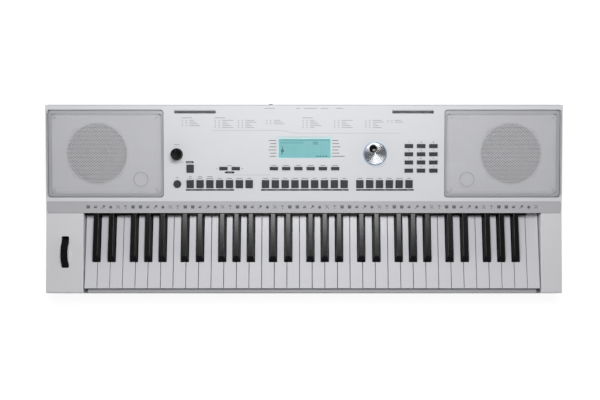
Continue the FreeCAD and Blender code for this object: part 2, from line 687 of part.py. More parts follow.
def key_slip():
    """Stepped rail along the front of the white keys, with lower ends beside the end blocks."""
    front_y = FRONT_Y + SLIP_SETBACK
    left = WELL_LEFT + SLIP_END_GAP
    right = WELL_RIGHT - SLIP_END_GAP
    step_y = front_y + SLIP_DEPTH - SLIP_STEP_DEPTH
    step_z = SLIP_TOP_Z - SLIP_STEP_DROP
    rear_y = front_y + SLIP_DEPTH
    rail = side_profile([(front_y, SLIP_BOTTOM_Z), (front_y, SLIP_TOP_Z), (step_y, SLIP_TOP_Z),
                         (step_y, step_z), (rear_y, step_z), (rear_y, SLIP_BOTTOM_Z)], left, right)
    rail = rail.makeFillet(EDGE_ROUND / 2, [edge for edge in edges_at_height(rail, SLIP_TOP_Z)
                                            if edge.Vertexes[0].Y < front_y + 1e-6
                                            and edge.Vertexes[1].Y < front_y + 1e-6])
    ends = block(WELL_LEFT + SEAM, WELL_RIGHT - SEAM, front_y, rear_y, SLIP_BOTTOM_Z, step_z - SLIP_END_DROP)
    return joined([rail, ends])


def rubber_feet():
    x = HALF_WIDTH - FOOT_INSET
    places = [(px, py) for px in (-x, 0, x) for py in (FRONT_Y + FOOT_INSET, BACK_Y - FOOT_INSET)]
    feet = []
    for px, py in places:
        foot = disc(px, py, FOOT_RADIUS, 0, FOOT_HEIGHT)
        feet.append(foot.makeFillet(EDGE_ROUND / 2, edges_at_height(foot, 0)))
    return Part.makeCompound(feet)


def case_screws():
    screws = []
    for x, y in screw_places():
        head_top = FOOT_HEIGHT + CASE_SCREW_HEAD_HEIGHT
        head = disc(x, y, CASE_SCREW_HEAD, FOOT_HEIGHT + SEAM, head_top)
        shank = disc(x, y, CASE_SCREW_SHANK - SCREW_CLEARANCE, head_top, PARTING_HEIGHT + CASE_SCREW_BITE)
        screws.append(joined([head, shank]))
    return Part.makeCompound(screws)


# Loudspeakers

def rounded_outline(x, y, width, length, z, corner):
    """A closed rounded rectangle at one height."""
    plate = rounded_tile(x, y, width, length, z - WALL, z, corner)
    top = [face for face in plate.Faces if abs(face.CenterOfMass.z - z) < 1e-6]
    return top[0].OuterWire


def speaker_grille(side):
    """One grille: a thin flat sheet with a bevelled rim and a raised port ring."""
    x = side * (GRILLE_OUTER_X + CONTROL_HALF_WIDTH) / 2
    width = GRILLE_OUTER_X - CONTROL_HALF_WIDTH - 2 * GRILLE_GAP
    length = GRILLE_LENGTH - 2 * GRILLE_GAP
    flat_width = width - 2 * GRILLE_BEVEL
    flat_length = length - 2 * GRILLE_BEVEL
    rim = rounded_tile(x, SPEAKER_RISE, width, length, -GRILLE_DEPTH, -GRILLE_BEVEL_DROP, GRILLE_ROUND)
    low_line = rounded_outline(x, SPEAKER_RISE, width, length, -GRILLE_BEVEL_DROP, GRILLE_ROUND)
    high_line = rounded_outline(x, SPEAKER_RISE, flat_width, flat_length, 0, GRILLE_ROUND)
    bevel = Part.makeLoft([low_line, high_line], True, True)
    hollow = rounded_tile(x, SPEAKER_RISE, flat_width, flat_length, -GRILLE_DEPTH - WALL, -GRILLE_SHEET,
                          GRILLE_ROUND)
    port_x = side * (CONTROL_HALF_WIDTH + PORT_INSET)
    port_rise = GRILLE_FRONT + PORT_RISE
    ring = disc(port_x, port_rise, PORT_RADIUS, -GRILLE_SHEET / 2, PORT_PROUD)
    ring = ring.cut(disc(port_x, port_rise, PORT_RADIUS - PORT_RING, -GRILLE_SHEET, PORT_PROUD + WALL))
    return on_panel(joined([joined([rim, bevel]).cut(hollow), ring]))


def speaker_grilles():
    return Part.makeCompound([speaker_grille(-1), speaker_grille(1)])


def speaker_frames():
    """Pressed basket and magnet of each loudspeaker, bolted under its baffle."""
    rim = SPEAKER_RADIUS + SPEAKER_FLANGE
    seat = SPEAKER_RADIUS - CONE_SEAT
    section = [(SPEAKER_RADIUS, 0), (rim, 0), (rim, -SPEAKER_FLANGE_THICKNESS),
               (SPEAKER_RADIUS + CONE_THICKNESS, -SPEAKER_FLANGE_THICKNESS), (MAGNET_RADIUS, -SPEAKER_DEPTH),
               (MAGNET_RADIUS, -SPEAKER_DEPTH - MAGNET_DEPTH), (0, -SPEAKER_DEPTH - MAGNET_DEPTH),
               (0, -SPEAKER_DEPTH + CONE_THICKNESS),
               (MAGNET_RADIUS - CONE_SEAT, -SPEAKER_DEPTH + CONE_THICKNESS),
               (seat, -SPEAKER_FLANGE_THICKNESS), (seat, -CONE_THICKNESS), (SPEAKER_RADIUS, -CONE_THICKNESS)]
    return Part.makeCompound([on_panel(turned(section, side * SPEAKER_X, SPEAKER_RISE, BAFFLE_N))
                              for side in (-1, 1)])


def speaker_cones():
    """Paper cone with its roll surround and dust cap, glued to the basket's seat."""
    rim = SPEAKER_RADIUS - SEAM
    inner = SPEAKER_RADIUS - 2 * CONE_SEAT
    section = [(rim, -CONE_THICKNESS), (rim, 0), (inner, 0), (CONE_NECK, -CONE_DEPTH), (0, -DUST_CAP_DEPTH),
               (0, -DUST_CAP_DEPTH - CONE_THICKNESS), (CONE_NECK, -CONE_DEPTH - CONE_THICKNESS),
               (inner, -CONE_THICKNESS)]
    return Part.makeCompound([on_panel(turned(section, side * SPEAKER_X, SPEAKER_RISE, BAFFLE_N))
                              for side in (-1, 1)])


def grille_screws():
    screws = []
    for side in (-1, 1):
        for x, rise in grille_screw_places(side):
            head = disc(x, rise, SCREW_HEAD, -GRILLE_DEPTH, -GRILLE_DEPTH + SCREW_HEAD_HEIGHT)
            shank = disc(x, rise, SCREW_SHANK, BAFFLE_N - SCREW_HEAD_HEIGHT, -GRILLE_DEPTH)
            screws.append(on_panel(joined([head, shank])))
    return Part.makeCompound(screws)


# Display, boards and switches

def display_window():
    """Clear window with a flange that is held behind the panel."""
    pane = tile(DISPLAY_X, DISPLAY_RISE, WINDOW_WIDTH, WINDOW_LENGTH, -WALL - WINDOW_THICKNESS, 0)
    flange = tile(DISPLAY_X, DISPLAY_RISE, WINDOW_WIDTH + MODULE_MARGIN, WINDOW_LENGTH + MODULE_MARGIN,
                  -WALL - WINDOW_THICKNESS, -WALL)
    return on_panel(joined([pane, flange]))


def display_module():
    width = WINDOW_WIDTH + 2 * MODULE_MARGIN
    length = WINDOW_LENGTH + 2 * MODULE_MARGIN
    return on_panel(tile(DISPLAY_X, DISPLAY_RISE, width, length, BOARD_TOP_N, -WALL - WINDOW_THICKNESS))


def panel_board():
    side = CONTROL_HALF_WIDTH - PANEL_BOARD_SIDE
    return on_panel(block(-side, side, PANEL_BOARD_FRONT, PANEL_BOARD_FRONT + PANEL_BOARD_LENGTH,
                          BOARD_TOP_N - BOARD, BOARD_TOP_N))


def tact_switches():
    """One small switch under each button."""
    places = [POWER_PLACE] + [place for places, width, length in BUTTONS.values() for place in places]
    return Part.makeCompound([on_panel(tile(x, rise, SWITCH_SIZE, SWITCH_SIZE, BOARD_TOP_N, SWITCH_TOP_N))
                              for x, rise in places])


def stem(x, rise):
    return disc(x, rise, STEM_RADIUS, SWITCH_TOP_N + CAP_TRAVEL + SWITCH_GAP, WEB_TOP_N - WEB_THICKNESS / 2)


def button_strip(places, width, length):
    """Caps on one springy web, with a stem over each switch."""
    margin = 2 * WEB_MARGIN
    xs = [x for x, rise in places]
    rises = [rise for x, rise in places]
    web = tile((min(xs) + max(xs)) / 2, (min(rises) + max(rises)) / 2, max(xs) - min(xs) + width + margin,
               max(rises) - min(rises) + length + margin, WEB_TOP_N - WEB_THICKNESS, WEB_TOP_N)
    pieces = [web]
    for x, rise in places:
        cap = rounded_tile(x, rise, width, length, WEB_TOP_N - WEB_THICKNESS / 2, CAP_PROUD, CAP_ROUND)
        pieces.append(cap.makeFillet(CAP_ROUND / 2, edges_at_height(cap, CAP_PROUD)))
        pieces.append(stem(x, rise))
    return on_panel(joined(pieces))


def power_button():
    cap = disc(*POWER_PLACE, POWER_BUTTON_RADIUS, WEB_TOP_N - WEB_THICKNESS / 2, CAP_PROUD)
    cap = cap.makeFillet(CAP_ROUND, edges_at_height(cap, CAP_PROUD))
    flange = disc(*POWER_PLACE, POWER_BUTTON_RADIUS + WEB_MARGIN, WEB_TOP_N - WEB_THICKNESS, WEB_TOP_N)
    return on_panel(joined([cap, flange, stem(*POWER_PLACE)]))


# Data dial and knobs

def dial_light_ring():
    """Clear cup round the dial that carries the light to a thin rim."""
    rim = disc(DIAL_X, DIAL_RISE, RING_RADIUS, -WALL, RING_PROUD)
    well = disc(DIAL_X, DIAL_RISE, RING_RADIUS - RING_RIM, -WALL / 2, RING_PROUD + WALL)
    flange = disc(DIAL_X, DIAL_RISE, RING_RADIUS + RING_FLANGE, -WALL - CONE_THICKNESS, -WALL)
    hole = disc(DIAL_X, DIAL_RISE, DIAL_HUB_RADIUS + HUB_GAP, -2 * WALL, WALL)
    return on_panel(joined([rim.cut(well), flange]).cut(hole))


def dial_encoder():
    """Rotary encoder on the panel board, with its shaft through the panel."""
    body = tile(DIAL_X, DIAL_RISE, ENCODER_SIZE, ENCODER_SIZE, BOARD_TOP_N, BOARD_TOP_N + ENCODER_HEIGHT)
    shaft = disc(DIAL_X, DIAL_RISE, SHAFT_RADIUS, BOARD_TOP_N, DIAL_BORE_TOP - SHAFT_END_GAP)
    return on_panel(joined([body, shaft]))


def data_dial():
    """Spun aluminium dial with a hub on the encoder shaft and a pocket for the finger cup."""
    top = DIAL_LIFT + DIAL_HEIGHT
    face = disc(DIAL_X, DIAL_RISE, DIAL_RADIUS, DIAL_LIFT, top)
    face = face.makeFillet(DIAL_ROUND, edges_at_height(face, top))
    hub = disc(DIAL_X, DIAL_RISE, DIAL_HUB_RADIUS, BOARD_TOP_N + ENCODER_HEIGHT + HUB_GAP,
               DIAL_LIFT + DIAL_ROUND)
    bore = disc(DIAL_X, DIAL_RISE, SHAFT_RADIUS + SHAFT_CLEARANCE, BOARD_TOP_N, DIAL_BORE_TOP)
    pocket = disc(DIAL_X + CUP_OFFSET_X, DIAL_RISE + CUP_OFFSET_RISE, CUP_RADIUS + CUP_GAP, top - CUP_DEPTH,
                  top + WALL)
    return on_panel(joined([face, hub]).cut([bore, pocket]))


def dial_finger_cup():
    """Dished insert for a fingertip, set into the dial."""
    x = DIAL_X + CUP_OFFSET_X
    rise = DIAL_RISE + CUP_OFFSET_RISE
    top = DIAL_LIFT + DIAL_HEIGHT
    ball = (CUP_RADIUS ** 2 + CUP_DISH ** 2) / (2 * CUP_DISH)
    insert = disc(x, rise, CUP_RADIUS, top - CUP_DEPTH, top)
    return on_panel(insert.cut(Part.makeSphere(ball, Vector(x, rise, top + ball - CUP_DISH))))


def potentiometers():
    """Volume control on the panel board and microphone level control on the jack plate."""
    shaft_top = KNOB_LIFT + VOLUME_HEIGHT - KNOB_CAP - SHAFT_END_GAP
    volume = [disc(VOLUME_X, VOLUME_RISE, POT_RADIUS, BOARD_TOP_N, BOARD_TOP_N + POT_HEIGHT),
              disc(VOLUME_X, VOLUME_RISE, BUSHING_RADIUS, BOARD_TOP_N, 0),
              disc(VOLUME_X, VOLUME_RISE, SHAFT_RADIUS, BOARD_TOP_N, shaft_top)]
    microphone = [bar_along_y(MIC_KNOB_X, MIC_Z, MIC_KNOB_RADIUS, PLATE_BACK_Y - POT_HEIGHT, PLATE_BACK_Y),
                  bar_along_y(MIC_KNOB_X, MIC_Z, MIC_SHAFT_RADIUS, PLATE_BACK_Y - POT_HEIGHT,
                              BACK_Y + MIC_KNOB_REACH - KNOB_CAP - SHAFT_END_GAP)]
    return Part.makeCompound([on_panel(joined(volume)), joined(microphone)])


def volume_knob():
    """Drafted knob with a pointer line cut in its top."""
    top = KNOB_LIFT + VOLUME_HEIGHT
    body = Part.makeCone(VOLUME_RADIUS, VOLUME_RADIUS - KNOB_DRAFT, VOLUME_HEIGHT,
                         Vector(VOLUME_X, VOLUME_RISE, KNOB_LIFT))
    body = body.makeFillet(KNOB_ROUND, edges_at_height(body, top))
    bore = disc(VOLUME_X, VOLUME_RISE, SHAFT_RADIUS + SHAFT_CLEARANCE, 0, top - KNOB_CAP)
    pointer = block(VOLUME_X - POINTER_WIDTH / 2, VOLUME_X + POINTER_WIDTH / 2, VOLUME_RISE + SHAFT_RADIUS,
                    VOLUME_RISE + VOLUME_RADIUS - 2 * KNOB_ROUND, top - POINTER_DEPTH, top + WALL)
    return on_panel(body.cut([bore, pointer]))


def mic_level_knob():
    end = BACK_Y + MIC_KNOB_REACH
    body = bar_along_y(MIC_KNOB_X, MIC_Z, MIC_KNOB_RADIUS, BAY_FLOOR_Y + KNOB_LIFT, end)
    rim = [edge for edge in body.Edges if all(abs(v.Y - end) < 1e-6 for v in edge.Vertexes)]
    body = body.makeFillet(CAP_ROUND, rim)
    bore = bar_along_y(MIC_KNOB_X, MIC_Z, MIC_SHAFT_RADIUS + SHAFT_CLEARANCE, BAY_FLOOR_Y, end - KNOB_CAP)
    return body.cut(bore)


# Bend wheel

def pitch_wheel():
    """Wheel that stands out of the left end block, with a thumb groove at its top."""
    half = BEND_WIDTH / 2
    wheel = bar_along_x(BEND_Y, BEND_AXIS_Z, BEND_RADIUS, BEND_X - half, BEND_X + half)
    wheel = wheel.makeFillet(CAP_ROUND, [edge for edge in wheel.Edges if edge.Closed])
    groove_z = BEND_AXIS_Z + BEND_RADIUS + BEND_GROOVE - BEND_GROOVE_DEPTH
    left = BEND_X - BEND_WIDTH
    right = BEND_X + BEND_WIDTH
    groove = bar_along_x(BEND_Y, groove_z, BEND_GROOVE, left, right)
    bore = bar_along_x(BEND_Y, BEND_AXIS_Z, SHAFT_RADIUS + SHAFT_CLEARANCE, left, right)
    return wheel.cut([groove, bore])


def bend_bracket():
    """Bracket on the floor of the case with the wheel's spindle and its sensor."""
    inner = BEND_WIDTH / 2 + BEND_CHEEK_GAP
    outer = inner + BEND_CHEEK
    top = BEND_AXIS_Z + SHAFT_RADIUS + BEND_CHEEK_MARGIN
    pieces = [tile(BEND_X, BEND_Y, 2 * outer, BRACKET_LENGTH, FLOOR_Z, FLOOR_Z + BRACKET_BASE),
              bar_along_x(BEND_Y, BEND_AXIS_Z, SHAFT_RADIUS, BEND_X - outer, BEND_X + outer),
              bar_along_x(BEND_Y, BEND_AXIS_Z, POT_RADIUS, BEND_X + outer, BEND_X + outer + POT_HEIGHT)]
    for x in (BEND_X - (inner + outer) / 2, BEND_X + (inner + outer) / 2):
        pieces.append(tile(x, BEND_Y, BEND_CHEEK, BRACKET_LENGTH / 2, FLOOR_Z, top))
    return joined(pieces)


# Rear jack plate and sockets

def socket_cuts():
    """Openings in the jack plate for everything that comes through it."""
    y0 = PLATE_BACK_Y - WALL
    y1 = BAY_FLOOR_Y + WALL
    cuts = [bar_along_y(x, JACK_Z, JACK_NOSE + SOCKET_GAP, y0, y1) for x in JACK_PLACES]
    cuts.append(bar_along_y(AUX_X, JACK_Z, AUX_NOSE + SOCKET_GAP, y0, y1))
    cuts.append(bar_along_y(INLET_X, JACK_Z, INLET_NOSE + SOCKET_GAP, y0, y1))
    cuts.append(bar_along_y(MIC_KNOB_X, MIC_Z, MIC_SHAFT_RADIUS + SOCKET_GAP, y0, y1))
    half_width = USB_WIDTH / 2 + SOCKET_GAP
    half_height = USB_HEIGHT / 2 + SOCKET_GAP
    cuts.append(block(USB_X - half_width, USB_X + half_width, y0, y1,
                      JACK_Z - half_height, JACK_Z + half_height))
    return cuts


def rear_jack_plate():
    """Flat plate at the bottom of the bay in the back wall, which carries the sockets."""
    plate = block(BAY_LEFT + SOCKET_GAP, BAY_RIGHT - SOCKET_GAP, PLATE_BACK_Y, BAY_FLOOR_Y,
                  BAY_BOTTOM_Z + SOCKET_GAP, BAY_TOP_Z - SOCKET_GAP)
    return plate.cut(socket_cuts())


def rear_bay_frame():
    """Collar that lines the bay, with a flange behind the back wall."""
    rim = SOCKET_GAP + BAY_WALL
    collar = block(BAY_LEFT + SOCKET_GAP, BAY_RIGHT - SOCKET_GAP, BAY_FLOOR_Y, BACK_Y - SEAM,
                   BAY_BOTTOM_Z + SOCKET_GAP, BAY_TOP_Z - SOCKET_GAP)
    flange = block(BAY_LEFT - BAY_FLANGE, BAY_RIGHT + BAY_FLANGE, BACK_Y - WALL - BAY_WALL, BACK_Y - WALL,
                   BAY_BOTTOM_Z - BAY_FLANGE, BAY_TOP_Z)
    hollow = block(BAY_LEFT + rim, BAY_RIGHT - rim, PLATE_BACK_Y, BACK_Y, BAY_BOTTOM_Z + rim, BAY_TOP_Z - rim)
    return joined([collar, flange]).cut(hollow)


def socket(x, bore, nose, body, length):
    """A round socket: a body on the main board, a nose through the plate and a bore for the plug."""
    half = body / 2
    box = block(x - half, x + half, PLATE_BACK_Y - length, PLATE_BACK_Y, MAIN_BOARD_Z, JACK_Z + half)
    barrel = bar_along_y(x, JACK_Z, nose, PLATE_BACK_Y - WALL, BAY_FLOOR_Y + JACK_NOSE_PROUD)
    hole = bar_along_y(x, JACK_Z, bore, PLATE_BACK_Y - length + WALL, BACK_Y)
    return joined([box, barrel]).cut(hole)


def audio_jacks():
    jacks = [socket(x, JACK_BORE, JACK_NOSE, JACK_BODY, JACK_LENGTH) for x in JACK_PLACES]
    jacks.append(socket(AUX_X, AUX_BORE, AUX_NOSE, AUX_BODY, AUX_LENGTH))
    return Part.makeCompound(jacks)


def power_inlet():
    return socket(INLET_X, INLET_BORE, INLET_NOSE, INLET_BODY, INLET_LENGTH)


def usb_socket():
    """Square metal socket shell, open to the back, on a foot on the main board."""
    half_width = USB_WIDTH / 2
    half_height = USB_HEIGHT / 2
    front_y = BAY_FLOOR_Y + JACK_NOSE_PROUD - USB_LENGTH
    shell = block(USB_X - half_width, USB_X + half_width, front_y, BAY_FLOOR_Y + JACK_NOSE_PROUD,
                  JACK_Z - half_height, JACK_Z + half_height)
    mouth = block(USB_X - half_width + USB_SHELL, USB_X + half_width - USB_SHELL, front_y + USB_SHELL, BACK_Y,
                  JACK_Z - half_height + USB_SHELL, JACK_Z + half_height - USB_SHELL)
    foot = block(USB_X - half_width, USB_X + half_width, front_y, PLATE_BACK_Y - SEAM,
                 MAIN_BOARD_Z, JACK_Z - half_height)
    return joined([shell.cut(mouth), foot])


def main_boss_places():
    """Bosses under the panel that hold the front edge of the main board; its sockets hold the back."""
    y = MAIN_BOARD_FRONT_Y + MAIN_BOSS_INSET
    middle = (MAIN_BOARD_LEFT + MAIN_BOARD_RIGHT) / 2
    return [(MAIN_BOARD_LEFT + MAIN_BOSS_INSET, y), (middle, y), (MAIN_BOARD_RIGHT - MAIN_BOSS_INSET, y)]


def main_board():
    return block(MAIN_BOARD_LEFT, MAIN_BOARD_RIGHT, MAIN_BOARD_FRONT_Y, MAIN_BOARD_BACK_Y,
                 MAIN_BOARD_Z - BOARD, MAIN_BOARD_Z)


# Keys, moulded as combs that turn on bars at their back ends

def white_edges(left_x, note):
    """Where a white key's neck starts and ends, between the black keys beside it."""
    half = BLACK_BASE_WIDTH / 2 + BLACK_SIDE_GAP
    left = left_x + KEY_GAP / 2
    right = left_x + KEY_PITCH - KEY_GAP / 2
    if note in BLACK_OFFSETS:
        left = left_x + BLACK_OFFSETS[note] + half
    if note + 1 in BLACK_OFFSETS:
        right = left_x + KEY_PITCH + BLACK_OFFSETS[note + 1] - half
    return left, right


def white_key(left_x, note):
    """One hollow white key with a full-width head, a neck between black keys and a front lip."""
    left = left_x + KEY_GAP / 2
    right = left_x + KEY_PITCH - KEY_GAP / 2
    neck_left, neck_right = white_edges(left_x, note)
    outer = joined([block(left, right, KEY_FRONT_Y, NOTCH_Y, KEY_BOTTOM_Z, KEY_TOP_HEIGHT),
                    block(neck_left, neck_right, KEY_FRONT_Y, BODY_REAR_Y, KEY_BOTTOM_Z, KEY_TOP_HEIGHT)])
    outer = outer.makeFillet(KEY_ROUND, edges_at_height(outer, KEY_TOP_HEIGHT))
    below = KEY_BOTTOM_Z - KEY_WALL
    ceiling = KEY_TOP_HEIGHT - KEY_SKIN
    inner_front = KEY_FRONT_Y + KEY_WALL
    head = block(left + KEY_WALL, right - KEY_WALL, inner_front, NOTCH_Y - KEY_WALL, below, ceiling)
    neck = block(neck_left + KEY_WALL, neck_right - KEY_WALL, inner_front, BODY_REAR_Y - KEY_WALL,
                 below, ceiling)
    lip = block(left, right, KEY_FRONT_Y, inner_front, LIP_Z, KEY_BOTTOM_Z)
    return joined([outer.cut(joined([head, neck])), lip])


def tail(left, right, hinge_z):
    """The flat tongue that joins one key to its hinge bar."""
    half = TAIL_THICKNESS / 2
    return block(left + TAIL_INSET, right - TAIL_INSET, BODY_REAR_Y - KEY_WALL, HINGE_Y,
                 hinge_z - half, hinge_z + half)


def hinge_bar(x0, x1, hinge_z):
    return bar_along_x(HINGE_Y, hinge_z, HINGE_RADIUS, x0 + BAR_END_GAP, x1 - BAR_END_GAP)


def white_comb(start_x, notes, width, bar):
    """White keys of one octave that share a bar."""
    pieces = [hinge_bar(start_x, start_x + width, HINGE_Z[bar])]
    for note in notes:
        left_x = start_x + note * KEY_PITCH
        pieces.append(white_key(left_x, note))
        pieces.append(tail(*white_edges(left_x, note), HINGE_Z[bar]))
    return joined(pieces)


def rectangle(x0, x1, y0, y1, z):
    return Part.makePolygon([Vector(x0, y0, z), Vector(x1, y0, z), Vector(x1, y1, z), Vector(x0, y1, z),
                             Vector(x0, y0, z)])


def black_key(x):
    """One hollow black key with raked front and drafted sides."""
    half = BLACK_BASE_WIDTH / 2
    half_top = BLACK_TOP_WIDTH / 2
    shoulder_z = KEY_TOP_HEIGHT + BLACK_SHOULDER
    top_z = KEY_TOP_HEIGHT + BLACK_RISE
    raked_y = BLACK_FRONT_Y + BLACK_FRONT_RAKE
    upper = Part.makeLoft([rectangle(x - half, x + half, BLACK_FRONT_Y, BODY_REAR_Y, shoulder_z),
                           rectangle(x - half_top, x + half_top, raked_y, BODY_REAR_Y, top_z)], True, True)
    soft = [edge for edge in upper.Edges if max(v.Z for v in edge.Vertexes) > top_z - 1e-6
            and min(v.Y for v in edge.Vertexes) < BODY_REAR_Y - 1e-6]
    upper = upper.makeFillet(BLACK_ROUND, soft)
    lower = block(x - half, x + half, BLACK_FRONT_Y, BODY_REAR_Y, KEY_BOTTOM_Z, shoulder_z)
    inner_rear = BODY_REAR_Y - KEY_WALL
    hollow = block(x - half + KEY_WALL, x + half - KEY_WALL, BLACK_FRONT_Y + KEY_SKIN, inner_rear,
                   KEY_BOTTOM_Z - KEY_WALL, shoulder_z)
    narrow = block(x - half_top + KEY_WALL, x + half_top - KEY_WALL, raked_y + KEY_SKIN, inner_rear,
                   shoulder_z - KEY_WALL, top_z - KEY_SKIN)
    return joined([upper, lower]).cut([hollow, narrow])


def black_comb(start_x):
    """Black keys of one octave on their bar, with the bridge that shows under the icon strip."""
    pieces = [hinge_bar(start_x, start_x + OCTAVE, HINGE_Z["black"])]
    for note, offset in BLACK_OFFSETS.items():
        x = start_x + note * KEY_PITCH + offset
        half = BLACK_BASE_WIDTH / 2
        pieces.append(black_key(x))
        pieces.append(tail(x - half, x + half, HINGE_Z["black"]))
    front_y = EDGE_Y - BRIDGE_PROUD
    pieces.append(block(start_x + KEY_GAP / 2, start_x + OCTAVE - KEY_GAP / 2, front_y, front_y + BRIDGE_DEPTH,
                        BRIDGE_Z, BRIDGE_Z + BRIDGE_HEIGHT))
    return joined(pieces)


def key_combs():
    """All key mouldings by name, from the lowest octave to the top key."""
    combs = {}
    for i in range(OCTAVES):
        start_x = KEYS_LEFT + i * OCTAVE
        combs["octave_%d_keys_cegb" % (i + 1)] = white_comb(start_x, (0, 2, 4, 6), OCTAVE, "cegb")
        combs["octave_%d_keys_dfa" % (i + 1)] = white_comb(start_x, (1, 3, 5), OCTAVE, "dfa")
        combs["octave_%d_keys_black" % (i + 1)] = black_comb(start_x)
    combs["top_c_key"] = top_key()
    return combs


def top_key():
    """The last key stands alone, with no black key beside it."""
    left_x = KEYS_LEFT + OCTAVES * OCTAVE
    left = left_x + KEY_GAP / 2
    right = left_x + KEY_PITCH - KEY_GAP / 2
    outer = block(left, right, KEY_FRONT_Y, BODY_REAR_Y, KEY_BOTTOM_Z, KEY_TOP_HEIGHT)
    outer = outer.makeFillet(KEY_ROUND, edges_at_height(outer, KEY_TOP_HEIGHT))
    inner_front = KEY_FRONT_Y + KEY_WALL
    hollow = block(left + KEY_WALL, right - KEY_WALL, inner_front, BODY_REAR_Y - KEY_WALL,
                   KEY_BOTTOM_Z - KEY_WALL, KEY_TOP_HEIGHT - KEY_SKIN)
    lip = block(left, right, KEY_FRONT_Y, inner_front, LIP_Z, KEY_BOTTOM_Z)
    return joined([outer.cut(hollow), lip, tail(left, right, HINGE_Z["cegb"]),
                   hinge_bar(left_x, left_x + KEY_PITCH, HINGE_Z["cegb"])])


# What carries the keys

def hinge_plate_places():
    return [KEYS_LEFT + i * OCTAVE for i in range(OCTAVES + 1)] + [KEYS_LEFT + WHITES * KEY_PITCH]


def key_chassis():
    """Plate on legs under the keys, with upright plates that hold the ends of the hinge bars."""
    left = WELL_LEFT + CHASSIS_SIDE_GAP
    right = WELL_RIGHT - CHASSIS_SIDE_GAP
    front_y = KEY_FRONT_Y - SLIP_TO_KEYS + CHASSIS_FRONT_GAP
    back_y = HINGE_Y + HINGE_PLATE_DEPTH / 2
    plate_z = CHASSIS_Z - CHASSIS_PLATE
    pieces = [block(left, right, front_y, back_y, plate_z, CHASSIS_Z)]
    leg_step = (back_y - front_y - CHASSIS_LEG) / (LEG_COUNT - 1)
    for i in range(LEG_COUNT):
        y = front_y + i * leg_step
        pieces.append(block(left, right, y, y + CHASSIS_LEG, FLOOR_Z, plate_z + CHASSIS_PLATE / 2))
    top_z = HINGE_Z["black"] + HINGE_PLATE_MARGIN
    for x in hinge_plate_places():
        half = HINGE_PLATE / 2
        pieces.append(block(x - half, x + half, HINGE_Y - HINGE_PLATE_DEPTH / 2, back_y, plate_z, top_z))
    holes = [bar_along_x(HINGE_Y, z, HINGE_RADIUS + HINGE_CLEARANCE, left - WALL, right + WALL)
             for z in HINGE_Z.values()]
    return joined(pieces).cut(holes)


def key_drop(y, degrees):
    """How far a place on a key sinks when the key is pressed right down."""
    return (HINGE_Y - y) * math.sin(math.radians(degrees))


def key_felt():
    """Felt strip that the front lips of the white keys land on."""
    y1 = KEY_FRONT_Y + FELT_DEPTH
    top = LIP_Z - key_drop(KEY_FRONT_Y, WHITE_TRAVEL) - FELT_GAP
    y0 = KEY_FRONT_Y - SLIP_TO_KEYS + CHASSIS_FRONT_GAP
    return block(WELL_LEFT + WELL_GAP, WELL_RIGHT - WELL_GAP, y0, y1, CHASSIS_Z, top)


def key_contact_board():
    half = CONTACT_BOARD_DEPTH / 2
    return block(WELL_LEFT + WELL_GAP, WELL_RIGHT - WELL_GAP, CONTACT_Y - half, CONTACT_Y + half,
                 CHASSIS_Z, CHASSIS_Z + BOARD)


def key_middles():
    """The X of every key, white and black."""
    whites = [KEYS_LEFT + (i + 0.5) * KEY_PITCH for i in range(WHITES)]
    blacks = [KEYS_LEFT + i * OCTAVE + note * KEY_PITCH + offset
              for i in range(OCTAVES) for note, offset in BLACK_OFFSETS.items()]
    return whites + blacks


def contact_rubber():
    """Rubber sheet on the contact board with a low dome under each key."""
    base_z = CHASSIS_Z + BOARD
    half = CONTACT_DEPTH / 2
    front_y = CONTACT_Y - half
    top = KEY_BOTTOM_Z - key_drop(front_y, BLACK_TRAVEL) - DOME_GAP
    pieces = [block(WELL_LEFT + WELL_GAP, WELL_RIGHT - WELL_GAP, front_y, CONTACT_Y + half,
                    base_z, base_z + CONTACT_SHEET)]
    pieces += [disc(x, CONTACT_Y, DOME_RADIUS, base_z, top) for x in key_middles()]
    return joined(pieces)


def all_pieces():
    pieces = {
        "top_case": top_case(),
        "bottom_case": bottom_case(),
        "left_end_block": left_end_block(),
        "right_end_block": right_end_block(),
        "icon_strip": icon_strip(),
        "key_slip": key_slip(),
        "rubber_feet": rubber_feet(),
        "case_screws": case_screws(),
        "speaker_grilles": speaker_grilles(),
        "speaker_frames": speaker_frames(),
        "speaker_cones": speaker_cones(),
        "grille_screws": grille_screws(),
        "display_window": display_window(),
        "display_module": display_module(),
        "panel_board": panel_board(),
        "tact_switches": tact_switches(),
        "power_button": power_button(),
        "dial_light_ring": dial_light_ring(),
        "dial_encoder": dial_encoder(),
        "data_dial": data_dial(),
        "dial_finger_cup": dial_finger_cup(),
        "potentiometers": potentiometers(),
        "volume_knob": volume_knob(),
        "mic_level_knob": mic_level_knob(),
        "pitch_wheel": pitch_wheel(),
        "bend_bracket": bend_bracket(),
        "rear_jack_plate": rear_jack_plate(),
        "rear_bay_frame": rear_bay_frame(),
        "audio_jacks": audio_jacks(),
        "power_inlet": power_inlet(),
        "usb_socket": usb_socket(),
        "main_board": main_board(),
        "key_chassis": key_chassis(),
        "key_felt": key_felt(),
        "key_contact_board": key_contact_board(),
        "contact_rubber": contact_rubber(),
    }
    for name, (places, width, length) in BUTTONS.items():
        pieces[name] = button_strip(places, width, length)
    pieces.update(key_combs())
    return pieces


os.makedirs("parts", exist_ok=True)
for piece_name, piece_shape in all_pieces().items():
    piece_shape.exportStep("parts/%s.step" % piece_name)
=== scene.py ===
"""Looks of a white arranger keyboard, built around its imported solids."""
import json
import math

import bmesh
import bpy
from mathutils import Matrix, Vector


